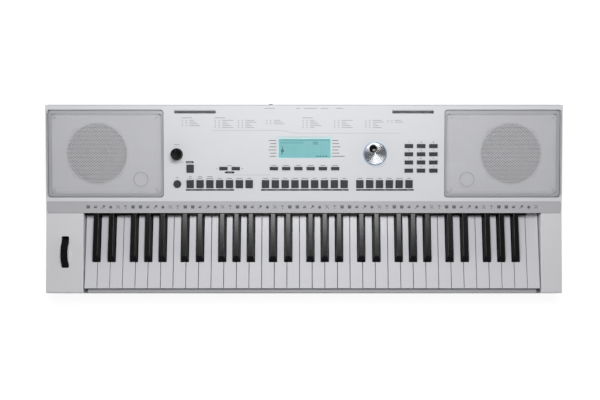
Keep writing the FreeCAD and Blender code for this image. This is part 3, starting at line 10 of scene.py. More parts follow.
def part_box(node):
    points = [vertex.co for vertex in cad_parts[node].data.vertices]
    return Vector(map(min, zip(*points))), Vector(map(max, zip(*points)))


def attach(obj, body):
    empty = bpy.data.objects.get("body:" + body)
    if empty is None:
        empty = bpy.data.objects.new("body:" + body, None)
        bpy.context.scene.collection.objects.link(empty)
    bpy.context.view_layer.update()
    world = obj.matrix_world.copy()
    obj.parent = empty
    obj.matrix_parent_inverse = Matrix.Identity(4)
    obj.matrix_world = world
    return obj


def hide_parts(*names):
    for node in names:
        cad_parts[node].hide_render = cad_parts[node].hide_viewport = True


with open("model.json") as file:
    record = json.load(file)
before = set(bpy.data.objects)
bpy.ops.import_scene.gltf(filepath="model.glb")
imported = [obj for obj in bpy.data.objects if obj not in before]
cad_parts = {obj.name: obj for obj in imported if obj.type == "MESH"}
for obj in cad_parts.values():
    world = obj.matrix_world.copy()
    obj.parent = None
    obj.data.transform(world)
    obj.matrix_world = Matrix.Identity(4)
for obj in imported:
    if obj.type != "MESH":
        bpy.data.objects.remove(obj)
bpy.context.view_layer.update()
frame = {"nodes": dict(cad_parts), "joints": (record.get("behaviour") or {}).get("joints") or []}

bl_info = {
    "name": "Arranger keyboard",
    "version": (1, 0, 0),
    "blender": (4, 5, 0),
    "location": "View3D > Sidebar > Keyboard",
    "description": "Dresses the solids of an arranger keyboard with finishes, prints and fine parts",
    "category": "Object",
}

MM = 0.001
NODES = frame["nodes"]
JOINTS = {joint["name"]: joint for joint in frame["joints"]}
# The part's own axes, in millimetres
PART = Matrix.Scale(MM, 4)


def joint_point(name):
    return Vector(JOINTS[name]["pos_m"])


def place_in_mm(origin, *axes):
    """Where millimetres along three axes from an origin lie in the part."""
    return Matrix.Translation(origin) @ Matrix(axes).transposed().to_4x4() @ PART


# The panel slopes up to the back: its own axes run across it, up it and out of it
ACROSS = Vector((1, 0, 0))
NORMAL = Vector(JOINTS["volume_turn"]["axis"])
UPHILL = Vector((0, NORMAL.z, -NORMAL.y))
VOLUME_POINT = joint_point("volume_turn")
DIAL_POINT = joint_point("data_dial_turn")
EDGE_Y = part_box("icon_strip")[0].y
EDGE_POINT = VOLUME_POINT - UPHILL * ((VOLUME_POINT.y - EDGE_Y) / UPHILL.y)
EDGE_POINT.x = 0
PANEL = place_in_mm(EDGE_POINT, ACROSS, UPHILL, NORMAL)
# The jack plate is looked at from behind, so its own X runs to the player's left
PLATE_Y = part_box("rear_jack_plate")[1].y
REAR = place_in_mm((0, PLATE_Y, 0), (-1, 0, 0), (0, 0, 1), (0, 1, 0))
SIDES = ((-1, "left"), (1, "right"))


def on_panel_mm(point):
    """Where a point in metres lies on the panel, in millimetres across and up it."""
    local = (point - EDGE_POINT) / MM
    return local.x, local.dot(UPHILL)


VOLUME_X, VOLUME_RISE = on_panel_mm(VOLUME_POINT)
DIAL_X, DIAL_RISE = on_panel_mm(DIAL_POINT)


def linear(code):
    """Turns an sRGB hex value into linear colour."""
    shares = [int(code[i:i + 2], 16) / 255 for i in (1, 3, 5)]
    return tuple(s / 12.92 if s <= 0.04045 else ((s + 0.055) / 1.055) ** 2.4 for s in shares)


def colour_property(title, code, text):
    """A colour, given here as an sRGB hex value."""
    return bpy.props.FloatVectorProperty(name=title, description=text, subtype="COLOR", size=3, min=0, max=1,
                                         default=linear(code))


def number_property(title, value, text, subtype="NONE", **limits):
    """A plain number, or one of a kind that the sidebar shows with its unit."""
    return bpy.props.FloatProperty(name=title, description=text, subtype=subtype, default=value, **limits)


class KeyboardColours(bpy.types.PropertyGroup):
    """Colours of the mouldings, metals, lights and inks."""
    case: colour_property("Case", "#D9DADE", "White ABS of the case")
    ends: colour_property("End blocks", "#DADADD", "White ABS of the blocks beside the keys")
    strip: colour_property("Strip", "#B9B9BD", "Grey ABS strip in front of the panel")
    slip: colour_property("Key slip", "#B2B3B6", "Grey ABS rail along the key fronts")
    white_key: colour_property("White keys", "#DADADF", "Polished plastic of the white keys")
    black_key: colour_property("Black keys", "#0A0A0C", "Moulded plastic of the black keys")
    button: colour_property("Buttons", "#27282E", "Dark grey button plastic")
    knob: colour_property("Knobs", "#050507", "Black plastic of the knobs")
    grille: colour_property("Grilles", "#DDDDE1", "Powder coat of the perforated steel")
    rim: colour_property("Grille rims", "#AEAFB3", "Satin plastic of the bevelled rims")
    metal: colour_property("Dial face", "#CFD2D7", "Spun aluminium of the dial's face")
    # The dial edge's blue-grey is a painted reflection of a dark blue surround
    dial_edge: colour_property("Dial edge", "#8A96A6", "Aluminium of the dial's edge, blue-grey as a painted reflection")
    ring: colour_property("Dial light", "#D0D8E2", "Light of the ring around the dial")
    display: colour_property("Display", "#7CB7BB", "Back light of the display")
    border: colour_property("Display border", "#C4DBDD", "Light that shows around the display glass")
    ink: colour_property("Dark ink", "#3A3B41", "Ink of the labels")
    pale_ink: colour_property("Pale ink", "#8D8E94", "Ink of the small print")


class KeyboardDetails(bpy.types.PropertyGroup):
    """Sizes of the parts that only the looks have."""
    pitch: number_property("Hole pitch", 2.8 * MM, "Distance between the holes of the grilles", "DISTANCE")
    hole: number_property("Hole share", 0.7, "Hole width as a share of the pitch", "FACTOR",
                          min=0.2, max=0.85)
    ink_height: number_property("Ink", 0.05 * MM, "How far the print stands on the surface", "DISTANCE")
    flutes: bpy.props.IntProperty(name="Flutes", description="Grip flutes around the volume knob", default=24)


class KeyboardStage(bpy.types.PropertyGroup):
    """Camera and light."""
    distance: number_property("Camera distance", 1.5, "From the middle of the keyboard", "DISTANCE")
    tilt: number_property("Camera tilt", math.radians(7.64), "How far in front of straight above", "ANGLE")
    lens: number_property("Lens", 47.63, "Focal length on a 36 mm sensor", "DISTANCE_CAMERA")
    power: number_property("Softbox", 12.6, "Power of the softbox", "POWER")
    zenith: number_property("Zenith", 0.12, "Light from above, where the horizon is 1")


# Materials

FINISHES = {}
WHITE = (1.0, 1.0, 1.0, 1.0)


def set_sockets(tree, node, inputs):
    """Sets or links the sockets of a node."""
    for socket, value in inputs.items():
        if isinstance(value, bpy.types.NodeSocket):
            tree.links.new(value, node.inputs[socket])
        else:
            node.inputs[socket].default_value = value


def add_node(tree, kind, output, inputs=None, **settings):
    """Adds one node, sets its properties, sets or links its sockets, and gives back one output."""
    node = tree.nodes.new(kind)
    for name, value in settings.items():
        setattr(node, name, value)
    set_sockets(tree, node, inputs or {})
    return node.outputs[output]


def per_mm(size):
    """Texture scale that gives features of one size in millimetres."""
    return 1 / (size * MM)


def scaled(colour, share):
    """A colour made darker or lighter, and opaque."""
    return tuple(min(1.0, channel * share) for channel in colour) + (1.0,)


def start_material(finish, name, **even):
    """A new finish with one shader, whose even values go straight on its sockets."""
    FINISHES[finish] = bpy.data.materials.new(name)
    FINISHES[finish].use_nodes = True
    tree = FINISHES[finish].node_tree
    shader = tree.nodes["Principled BSDF"]
    set_sockets(tree, shader, {socket.replace("_", " "): value for socket, value in even.items()})
    return tree, shader, add_node(tree, "ShaderNodeTexCoord", "Object")


def add_drift(tree, place, size_mm, colour, low, high, detail, twist=0.0):
    """A colour that drifts between a darker and a lighter share, and the noise that it follows."""
    noise = add_node(tree, "ShaderNodeTexNoise", "Fac", {
        "Vector": place, "Scale": per_mm(size_mm), "Detail": detail, "Distortion": twist})
    tint = add_node(tree, "ShaderNodeMix", "Result", {
        "Factor": noise, "A": scaled(colour, low), "B": scaled(colour, high)}, data_type="RGBA")
    return tint, noise


def grained(finish, name, colour, rough, patch_mm, grain_mm, shade, relief_mm=0.02, spread=0.06, **even):
    """A surface whose shade and gloss drift over patches, with a fine grain on its face."""
    tree, shader, place = start_material(finish, name, **even)
    tint, patches = add_drift(tree, place, patch_mm, colour, 1 - shade, 1 + shade, 4.0)
    gloss = add_node(tree, "ShaderNodeMapRange", "Result", {
        "Value": patches, "To Min": rough - spread, "To Max": rough + spread})
    grain = add_node(tree, "ShaderNodeTexNoise", "Fac", {
        "Vector": place, "Scale": per_mm(grain_mm), "Detail": 2.0})
    bump = add_node(tree, "ShaderNodeBump", "Normal", {
        "Height": grain, "Distance": relief_mm * MM, "Strength": 0.6})
    set_sockets(tree, shader, {"Base Color": tint, "Roughness": gloss, "Normal": bump})
    return tree, shader, place


def satin_black(colour):
    """Black key plastic: satin on the tops, and below them the shine falls away as painted shade, on the
    sides and on the bar between them under the strip.
    """
    tree, shader, place = grained("black_key", "Key plastic, satin black", colour, 0.17, 18, 2.0, 0.1,
                                  relief_mm=0.01, spread=0.03)
    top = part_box("octave_1_keys_black")[1].z
    height = add_node(tree, "ShaderNodeSeparateXYZ", "Z", {"Vector": place})
    # Painted shade: the shine falls away below the key tops, so that the sides and the bar stay dark
    shine_with_painted_shade = add_node(tree, "ShaderNodeMapRange", "Result", {
        "Value": height, "From Min": top - 0.4 * MM, "From Max": top - 0.1 * MM, "To Min": 0.05,
        "To Max": 0.5})
    set_sockets(tree, shader, {"Specular IOR Level": shine_with_painted_shade})


def fibrous(finish, name, colour, rough, fibre_mm, detail, twist, pale, relief_mm, **even):
    """A sheet of tangled fibres, dark between them and pale along them."""
    tree, shader, place = start_material(finish, name, Roughness=rough, **even)
    tint, fibres = add_drift(tree, place, fibre_mm, colour, 0.6, pale, detail, twist)
    bump = add_node(tree, "ShaderNodeBump", "Normal", {"Height": fibres, "Distance": relief_mm * MM})
    set_sockets(tree, shader, {"Base Color": tint, "Normal": bump})


def spun_aluminium(colour):
    """Aluminium turned on a lathe: rings, coarser than real, that spread a bright fan across the face."""
    tree, shader, place = start_material("dial_face", "Aluminium, spun", Metallic=1.0, Roughness=0.24,
                                         Anisotropic=0.85)
    arm = add_node(tree, "ShaderNodeVectorMath", "Vector", {0: place, 1: DIAL_POINT}, operation="SUBTRACT")
    flat = add_node(tree, "ShaderNodeVectorMath", "Vector", {0: arm, 1: NORMAL}, operation="CROSS_PRODUCT")
    reach = add_node(tree, "ShaderNodeVectorMath", "Value", {0: flat}, operation="LENGTH")
    rings = add_node(tree, "ShaderNodeTexNoise", "Fac", {
        "W": reach, "Scale": per_mm(3.5), "Detail": 1.0}, noise_dimensions="1D")
    tint = add_node(tree, "ShaderNodeMix", "Result", {
        "Factor": rings, "A": scaled(colour, 0.86), "B": scaled(colour, 1.1)}, data_type="RGBA")
    set_sockets(tree, shader, {"Base Color": tint, "Tangent": arm})


def lit_panel(finish, name, colour, cell_mm, strength):
    """A back-lit sheet: even light with a faint drift and the fine grid of its cells."""
    tree, shader, place = start_material(finish, name, Roughness=0.3, Emission_Strength=strength,
                                         Base_Color=scaled(colour, 0.25))
    tint, _ = add_drift(tree, place, 40, colour, 0.9, 1.08, 1.0)
    cells = add_node(tree, "ShaderNodeTexBrick", "Color", {
        "Vector": place, "Scale": per_mm(cell_mm) / 2, "Mortar Size": 0.02, "Color1": WHITE, "Color2": WHITE,
        "Mortar": scaled(WHITE[:3], 0.94)}, offset=0.0)
    grid = add_node(tree, "ShaderNodeMix", "Result", {"Factor": 1.0, "A": tint, "B": cells},
                    data_type="RGBA", blend_type="MULTIPLY")
    set_sockets(tree, shader, {"Emission Color": grid})


def clear_acrylic():
    """Cast acrylic with a coat against glare: clear, with only a weak reflection, as of a low index."""
    tree, shader, place = start_material("window", "Acrylic, coated clear", IOR=1.18, Transmission_Weight=1.0,
                                         Base_Color=(0.96, 0.99, 0.99, 1))
    wipe = add_node(tree, "ShaderNodeTexNoise", "Fac", {"Vector": place, "Scale": per_mm(25), "Detail": 3.0})
    gloss = add_node(tree, "ShaderNodeMapRange", "Result", {"Value": wipe, "To Max": 0.05})
    set_sockets(tree, shader, {"Roughness": gloss})


def solder_mask(colour):
    """Glass-fibre board under green lacquer, with paler runs of copper beneath it."""
    tree, shader, place = start_material("board", "Glass fibre, solder masked", Roughness=0.28)
    tracks = add_node(tree, "ShaderNodeTexBrick", "Color", {
        "Vector": place, "Scale": per_mm(12), "Mortar Size": 0.05, "Color1": scaled(colour, 0.8),
        "Color2": scaled(colour, 1.0), "Mortar": scaled(colour, 1.9)})
    set_sockets(tree, shader, {"Base Color": tracks})


def floor_paper():
    """Studio paper: seen as white, and it keeps a faint shadow of what stands on it."""
    tree, shader, place = start_material("floor", "Paper, studio white", Roughness=0.9,
                                         Specular_IOR_Level=0.0, Emission_Color=WHITE)
    tint, _ = add_drift(tree, place, 30, (0.2, 0.2, 0.2), 0.95, 1.05, 2.0)
    seen = 0.0
    for kind in ("Is Camera Ray", "Is Glossy Ray", "Is Transmission Ray"):
        ray = add_node(tree, "ShaderNodeLightPath", kind)
        seen = add_node(tree, "ShaderNodeMath", "Value", {0: seen, 1: ray}, operation="MAXIMUM")
    glow = add_node(tree, "ShaderNodeMath", "Value", {0: seen, 1: 0.9}, operation="MULTIPLY")
    set_sockets(tree, shader, {"Base Color": tint, "Emission Strength": glow})


class KEYBOARD_OT_mix_finishes(bpy.types.Operator):
    """Make every material that the keyboard needs"""
    bl_idname = "keyboard.mix_finishes"
    bl_label = "Mix finishes"

    def execute(self, context):
        colours = context.scene.keyboard_colours
        # Spark-eroded mould: an even white with a fine matt grain
        grained("case", "ABS, moulded white", colours.case, 0.45, 60, 1.2, 0.015)
        grained("ends", "ABS, moulded off-white", colours.ends, 0.45, 60, 1.2, 0.015)
        # The strip's grey also paints the shade on the lips of the rest slots
        # Satin moulding, a little smoother than the case
        grained("strip", "ABS, moulded satin grey", colours.strip, 0.4, 45, 1.0, 0.02)
        grained("slip", "ABS, moulded rail grey", colours.slip, 0.42, 45, 1.0, 0.03)
        # Polished key tops: soft clear reflections with a faint handling haze
        grained("white_key", "Key plastic, polished", colours.white_key, 0.22, 14, 3.0, 0.012, relief_mm=0.01,
                spread=0.05)
        satin_black(colours.black_key)
        # Soft-touch lacquer over plastic: dark and dull
        grained("button", "Button plastic, soft touch", colours.button, 0.5, 10, 0.8, 0.08)
        # Moulded without polish: a black that hardly shines
        grained("knob", "Phenolic, moulded black", colours.knob, 0.5, 8, 0.9, 0.15, Specular_IOR_Level=0.15)
        # Polished bowl: black with one clear highlight
        grained("cup", "Phenolic, polished black", colours.knob, 0.15, 5, 1.0, 0.1, spread=0.03)
        # Powder coat: a slight orange peel
        grained("grille", "Steel, powder coated", colours.grille, 0.5, 30, 1.4, 0.02, relief_mm=0.04)
        # Satin paint over plastic: a soft sheen along the bevels
        grained("rim", "ABS, painted satin", colours.rim, 0.4, 30, 1.2, 0.02)
        spun_aluminium(colours.metal)
        # Blue-grey satin with soft highlights, where the blue-grey is a painted reflection of a dark surround
        # on the edge
        grained("dial_edge", "Aluminium, blue-grey as painted reflection", colours.dial_edge, 0.35, 6, 1.0, 0.05, Metallic=1.0)
        # Polished rim: a narrow mirror
        grained("bright", "Aluminium, polished", colours.metal, 0.12, 5, 1.0, 0.02, spread=0.03, Metallic=1.0)
        lit_panel("ring", "Acrylic, frosted light guide", colours.ring, 3.0, 0.75)
        lit_panel("display", "Liquid crystal, back lit", colours.display, 1.0, 0.9)
        lit_panel("border", "Light guide, back lit", colours.border, 4.0, 0.9)
        clear_acrylic()
        solder_mask(linear("#1C5A34"))
        # Nylon: black with a dull shine
        grained("socket", "Nylon, moulded black", linear("#1A1A1C"), 0.4, 9, 0.8, 0.12)
        # Zinc plate: bright and slightly cloudy
        grained("steel", "Steel, zinc plated", linear("#B9BBBF"), 0.3, 4, 0.7, 0.08, Metallic=1.0)
        # Dipped paint: black with a low sheen
        grained("basket", "Steel, painted black", linear("#232325"), 0.4, 20, 1.2, 0.1)
        # Loudspeaker paper: dark, dull and fibrous
        fibrous("paper", "Paper, pressed", linear("#2A2A2D"), 0.85, 1.5, 8.0, 1.5, 1.5, 0.2)
        # The black rubber also darkens the gaps around the grille rims as painted shade
        # Rubber: dull, with a dusty bloom
        grained("rubber", "Rubber, moulded", linear("#08080A"), 0.75, 12, 0.9, 0.18, relief_mm=0.05,
                Specular_IOR_Level=0.15)
        # Silicone: pale and faintly see-through
        grained("silicone", "Silicone, moulded", linear("#C3C5C6"), 0.5, 15, 1.0, 0.04, Subsurface_Weight=0.3)
        # Felt: red wool with a soft nap
        fibrous("felt", "Wool, felted", linear("#8A2A2E"), 0.95, 0.9, 10.0, 2.0, 1.4, 0.4, Sheen_Weight=0.4)
        # The same dark grey also paints the shade in the notches at the ends of the key slip
        # Glass-filled moulding: dark with pale flecks
        grained("chassis", "Polyamide, glass filled", linear("#5E5F63"), 0.55, 2.0, 0.6, 0.2)
        # Screen print: a flat ink film that is never quite even
        grained("bar_ink", "Ink, screen printed black", linear("#131316"), 0.5, 3, 0.6, 0.1,
                Specular_IOR_Level=0.2)
        grained("ink", "Ink, screen printed dark", colours.ink, 0.5, 3, 0.6, 0.1)
        # The grey ink also paints the shade line along the back edge
        grained("pale_ink", "Ink, screen printed grey", colours.pale_ink, 0.5, 3, 0.6, 0.08)
        grained("strip_ink", "Ink, pad printed grey", linear("#606167"), 0.5, 3, 0.6, 0.08)
        grained("white_ink", "Ink, screen printed white", linear("#E4E5E8"), 0.5, 3, 0.6, 0.05)
        # Liquid crystal: smooth, dark where it is switched on
        grained("segment", "Liquid crystal, dark segment", linear("#10323A"), 0.3, 3, 0.8, 0.1)
        grained("faint_segment", "Liquid crystal, faint segment", linear("#66B0B4"), 0.3, 3, 0.8, 0.1)
        # Foam gasket: open cells
        grained("foam", "Foam, die cut", linear("#C6C7CA"), 0.9, 6, 0.8, 0.2, relief_mm=0.3)
        floor_paper()
        return {"FINISHED"}


# Mesh building, in the millimetres of the panel unless another place is given

SHARP_TURN = math.radians(32)


def rectangle(x, y, width, height):
    """Rectangle about its middle."""
    return [(x - width / 2, y - height / 2), (x + width / 2, y - height / 2),
            (x + width / 2, y + height / 2), (x - width / 2, y + height / 2)]


def turned(x, y, steps, reach):
    """Closed outline whose reach from its middle follows from the angle."""
    points = []
    for i in range(steps):
        angle = 2 * math.pi * i / steps
        radius = reach(angle)
        points.append((x + radius * math.cos(angle), y + radius * math.sin(angle)))
    return points


def circle(x, y, radius, steps=48):
    return turned(x, y, steps, lambda angle: radius)


def rounded(x, y, width, height, radius, steps=6):
    """Rectangle with round corners, counted anticlockwise."""
    points = []
    for corner, (sx, sy) in enumerate(((1, 1), (-1, 1), (-1, -1), (1, -1))):
        middle_x = x + sx * (width / 2 - radius)
        middle_y = y + sy * (height / 2 - radius)
        for i in range(steps + 1):
            angle = math.pi / 2 * (corner + i / steps)
            points.append((middle_x + radius * math.cos(angle), middle_y + radius * math.sin(angle)))
    return points


def stroke(points, width):
    """Outlines of the pieces of a line of one width through points."""
    left, right = [], []
    for i, (x, y) in enumerate(points):
        before = Vector(points[max(i - 1, 0)])
        after = Vector(points[min(i + 1, len(points) - 1)])
        side = (after - before).normalized() * (width / 2)
        left.append((x - side.y, y + side.x))
        right.append((x + side.y, y - side.x))
    return [[right[i], right[i + 1], left[i + 1], left[i]] for i in range(len(points) - 1)]


def add_skin(bm, loops, around=False):
    """Joins closed loops of points one after the other, then joins last to first or closes both ends."""
    rings = [[bm.verts.new(point) for point in loop] for loop in loops]
    pairs = list(zip(rings, rings[1:]))
    if around:
        pairs.append((rings[-1], rings[0]))
    for low, high in pairs:
        for i in range(len(low)):
            j = (i + 1) % len(low)
            bm.faces.new((low[i], low[j], high[j], high[i]))
    if not around:
        bm.faces.new(rings[0][::-1])
        bm.faces.new(rings[-1])


def add_layers(bm, layers, around=False):
    """Joins outlines that lie at heights of their own."""
    add_skin(bm, [[(x, y, height) for x, y in outline] for outline, height in layers], around)


def add_prism(bm, outline, low, high):
    """A plate with the given outline, between two heights."""
    add_layers(bm, [(outline, low), (outline, high)])


def add_band(bm, inner, outer, low, high):
    """A flat band between two outlines with as many points."""
    add_layers(bm, [(inner, low), (outer, low), (outer, high), (inner, high)], True)


def add_rail(bm, section, x0, x1):
    """A bar along X, whose section is given as rises and heights."""
    add_skin(bm, [[(x, rise, height) for rise, height in section] for x in (x0, x1)])


def add_turning(bm, x, y, section, steps, around=False):
    """A round form about a point, whose section is given as radii and heights."""
    add_layers(bm, [(circle(x, y, radius, steps), height) for radius, height in section], around)


def add_ring(bm, x, y, inner, outer, low, high, soften=0.15, steps=64):
    """A flat ring with softened edges."""
    section = ((inner, low), (outer, low), (outer, high - soften), (outer - soften, high),
               (inner + soften, high), (inner, high - soften))
    add_turning(bm, x, y, section, steps, True)


def add_object(name, bm, finish):
    """Turns a bmesh into an object with a finish."""
    mesh = bpy.data.meshes.new(name)
    bm.to_mesh(mesh)
    bm.free()
    mesh.materials.append(FINISHES[finish])
    thing = bpy.data.objects.new(name, mesh)
    bpy.context.scene.collection.objects.link(thing)
    return thing


def make_piece(name, finish, slot, fill, *sizes, body="case", place=PANEL, stands_for=None, smooth=True):
    """A piece that a function fills, in its place, on its body, with its finish."""
    bm = bmesh.new()
    fill(bm, *sizes)
    bm.transform(place)
    bmesh.ops.recalc_face_normals(bm, faces=bm.faces)
    piece = add_object(name, bm, finish)
    if smooth:
        piece.data.polygons.foreach_set("use_smooth", [True] * len(piece.data.polygons))
        piece.data.set_sharp_from_angle(angle=SHARP_TURN)
    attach(piece, body)
    if stands_for:
        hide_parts(stands_for)


def dress(finish, *nodes):
    """Gives CAD nodes a finish."""
    for node in nodes:
        NODES[node].data.materials.clear()
        NODES[node].data.materials.append(FINISHES[finish])


# Stage, in metres

FLOOR_HALF = 4.0
AIM = Vector((-7.4, -0.59, 60.0)) * MM
SENSOR_MM = 36
SOFTBOX_POINT = Vector((0, 0.37, 1.3))
SOFTBOX_SIZE = (0.85, 0.6)
# How high a direction points, from 0 level to 1 straight up, where the light starts and ends its fall
GLOW_FALL = (0.2, 0.65)


class KEYBOARD_OT_set_stage(bpy.types.Operator):
    """Set up the floor, the light and the camera"""
    bl_idname = "keyboard.set_stage"
    bl_label = "Set stage"

    def execute(self, context):
        scene = context.scene
        stage = scene.keyboard_stage
        scene.view_settings.view_transform = "Standard"
        bm = bmesh.new()
        bmesh.ops.create_grid(bm, x_segments=8, y_segments=8, size=FLOOR_HALF)
        add_object("floor", bm, "floor")
        self.set_camera(scene, stage)
        self.hang_softbox(scene, stage.power)
        self.light_world(scene, stage.zenith)
        return {"FINISHED"}

    def set_camera(self, scene, stage):
        """Looks down on the keyboard from a little in front of it."""
        camera = bpy.data.objects.new("camera", bpy.data.cameras.new("camera"))
        camera.data.sensor_width = SENSOR_MM
        camera.data.lens = stage.lens
        camera.location = AIM + stage.distance * Vector((0, -math.sin(stage.tilt), math.cos(stage.tilt)))
        camera.rotation_euler = (stage.tilt, 0, 0)
        scene.collection.objects.link(camera)
        scene.camera = camera

    def hang_softbox(self, scene, power):
        """Large soft light above the back edge, unseen by the camera."""
        softbox = bpy.data.objects.new("softbox", bpy.data.lights.new("softbox", "AREA"))
        softbox.data.shape = "RECTANGLE"
        softbox.data.size, softbox.data.size_y = SOFTBOX_SIZE
        softbox.data.energy = power
        softbox.location = SOFTBOX_POINT
        softbox.visible_camera = False
        softbox.rotation_euler = (AIM - SOFTBOX_POINT).to_track_quat("-Z", "Y").to_euler()
        scene.collection.objects.link(softbox)

    def light_world(self, scene, zenith):
        """White all round the horizon and below it, dim overhead where a studio's ceiling is dark."""
        scene.world = bpy.data.worlds.new("studio")
        scene.world.use_nodes = True
        tree = scene.world.node_tree
        place = add_node(tree, "ShaderNodeTexCoord", "Generated")
        height = add_node(tree, "ShaderNodeSeparateXYZ", "Z", {"Vector": place})
        level = add_node(tree, "ShaderNodeMapRange", "Result", {
            "Value": height, "From Min": GLOW_FALL[0], "From Max": GLOW_FALL[1], "To Min": 1.0,
            "To Max": zenith}, interpolation_type="SMOOTHSTEP")
        set_sockets(tree, tree.nodes["Background"], {"Color": WHITE, "Strength": level})


# Case, keys and what they hold

# Painted shade, a grey line on the round of the back edge: the middle of the round, up the panel and out of
# it, the radii between which the paint lies, its turns around the round in degrees, and half its length
EDGE_ROUND = (198.65, -2.5)
PAINT_RADII = (2.56, 2.3)
PAINT_TURNS = (35, 50, 65, 80)
PAINT_HALF = 476.0
# Notch at each end of the key slip: its width, how deep it lies under the slip's top, and the pad of painted
# shade in it
NOTCH_WIDTH = 7.7
NOTCH_FLOOR = 6.0
PAD_THICK = 1.5
PAD_SINK = 0.05
PAD_ROOM = (0.4, 0.6)
# Slots for the music rest, the foam that lines them and the lip along their far side, grey as painted shade
REST_X = 202.5
REST_RISE = 188.0
REST_WIDTH = 76.9
REST_LENGTH = 6.9
REST_TOP = -0.8
REST_FLOOR = -11.95
FOAM_SIDE = 0.3
FOAM_FLOOR = 0.45
LIP_HALF = 38.1
LIP_SECTION = ((191.4, -0.1), (189.4, -0.5), (189.4, -4.2), (191.4, -4.2))


class KEYBOARD_OT_finish_case(bpy.types.Operator):
    """Finish the case, the strip, the key slip and the feet"""
    bl_idname = "keyboard.finish_case"
    bl_label = "Finish case"

    def execute(self, context):
        dress("case", "top_case", "bottom_case")
        dress("ends", "left_end_block", "right_end_block")
        dress("strip", "icon_strip")
        dress("slip", "key_slip")
        dress("rubber", "rubber_feet")
        dress("steel", "case_screws")
        make_piece("rest_slot_linings", "foam", "rubber", self.add_linings, smooth=False)
        # The lips are grey as painted shade on the far side of the slots
        make_piece("rest_slot_lips_painted_shade", "strip", "slip_grey", self.add_lips_painted_shade, smooth=False)
        # Painted shade: dark pads down in the notches at the ends of the key slip
        make_piece("slip_end_shade_pads", "chassis", "chassis", self.add_shade_pads, place=PART, smooth=False)
        # Painted shade along the back edge, in the grey of the small print
        make_piece("back_edge_painted_shade", "pale_ink", "slip_grey", self.add_edge_shade)
        return {"FINISHED"}

    def add_linings(self, bm):
        """Foam that lines the two slots for the music rest."""
        for x in (-REST_X, REST_X):
            outer = rectangle(x, REST_RISE, REST_WIDTH, REST_LENGTH)
            inner = rectangle(x, REST_RISE, REST_WIDTH - 2 * FOAM_SIDE, REST_LENGTH - 2 * FOAM_SIDE)
            add_layers(bm, [(outer, REST_FLOOR), (outer, REST_TOP), (inner, REST_TOP),
                            (inner, REST_FLOOR + FOAM_FLOOR)])

    def add_lips_painted_shade(self, bm):
        """Lip along the far side of each slot, grey as painted shade on a chamfer that falls away from the
        light.
        """
        for x in (-REST_X, REST_X):
            add_rail(bm, LIP_SECTION, x - LIP_HALF, x + LIP_HALF)

    def add_shade_pads(self, bm):
        """Dark pad in the notch at each end of the key slip, painted shade where one looks down into the
        notch, in the part's own axes.
        """
        low, high = (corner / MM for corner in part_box("key_slip"))
        floor = high.z - NOTCH_FLOOR
        middle = (low.y + high.y) / 2
        width, length = NOTCH_WIDTH - PAD_ROOM[0], high.y - low.y - PAD_ROOM[1]
        for x in (low.x + NOTCH_WIDTH / 2, high.x - NOTCH_WIDTH / 2):
            add_prism(bm, rectangle(x, middle, width, length), floor - PAD_SINK, floor + PAD_THICK)

    def add_edge_shade(self, bm):
        """Thin grey line, painted shade that follows the rounded back edge."""
        rise, height = EDGE_ROUND
        outer, inner = PAINT_RADII
        section = []
        for radius, turns in ((outer, PAINT_TURNS), (inner, PAINT_TURNS[::-1])):
            for turn in turns:
                angle = math.radians(turn)
                section.append((rise + radius * math.sin(angle), height + radius * math.cos(angle)))
        add_rail(bm, section, -PAINT_HALF, PAINT_HALF)


class KEYBOARD_OT_finish_keys(bpy.types.Operator):
    """Finish the keys"""
    bl_idname = "keyboard.finish_keys"
    bl_label = "Finish keys"

    def execute(self, context):
        blacks = [name for name in NODES if name.endswith("keys_black")]
        whites = [name for name in NODES if name.endswith(("keys_cegb", "keys_dfa"))]
        dress("black_key", *blacks)
        dress("white_key", "top_c_key", *whites)
        return {"FINISHED"}


class KEYBOARD_OT_finish_inside(bpy.types.Operator):
    """Finish what the case hides"""
    bl_idname = "keyboard.finish_inside"
    bl_label = "Finish inside"

    def execute(self, context):
        dress("board", "panel_board", "main_board", "key_contact_board")
        dress("socket", "tact_switches")
        dress("steel", "dial_encoder", "potentiometers")
        dress("chassis", "key_chassis", "bend_bracket")
        dress("felt", "key_felt")
        dress("silicone", "contact_rubber")
        return {"FINISHED"}


# Loudspeakers

GRILLE_X = 369.0
GRILLE_RISE = 110.5
GRILLE_WIDTH = 214.0
GRILLE_LENGTH = 161.0
GRILLE_ROUND = 6.0
SHEET = 0.8
BEVEL = 6.0
BORDER = BEVEL + 0.6
# Share of an inset that is left on the side of the controls
INNER_SHARE = 0.45
# Inset, height and corner round of the lines around the rim: outer wall, bevel, flat border, then underneath
RIM_LINES = ((0, -5.0, 6.0), (0, -2.2, 6.0), (BEVEL, 0.1, 6.0), (BORDER, 0.1, 4.0), (BORDER, -1.0, 4.0),
             (BEVEL, -1.3, 6.0), (1.5, -3.2, 5.0), (1.5, -5.0, 5.0))
# Dust seal in the gap around the rim, black so that it also darkens the gap as painted shade: how far out it
# starts and ends, and its heights
SEAL_OUTSETS = (0.05, 0.9)
SEAL_HEIGHTS = (-4.95, -2.6)
PORT_X = 303.5
PORT_RISE = 63.0
PORT_RADII = (12.4, 14.2)
PORT_HEIGHTS = (-0.5, 0.35)
SPEAKER_X = 385.6
# Foam gasket: its opening, its edge and how far its tabs reach beyond that, and its heights
GASKET_RADII = (55.4, 58.4)
GASKET_TAB = 4.0
GASKET_HEIGHTS = (-4.95, -4.0)
GASKET_STEPS = 192
# Roll around the cone: the radius of its middle, half its width, its level and how high it rises
ROLL_RADIUS = 51.6
ROLL_HALF = 3.4
ROLL_LEVEL = -7.75
ROLL_HEIGHT = 2.4
ROLL_STEPS = 12


def inside_rounded(x, y, width, height, radius):
    """Whether a point measured from the middle lies in a rectangle with round corners."""
    over_x = max(abs(x) - (width / 2 - radius), 0)
    over_y = max(abs(y) - (height / 2 - radius), 0)
    return math.hypot(over_x, over_y) <= radius


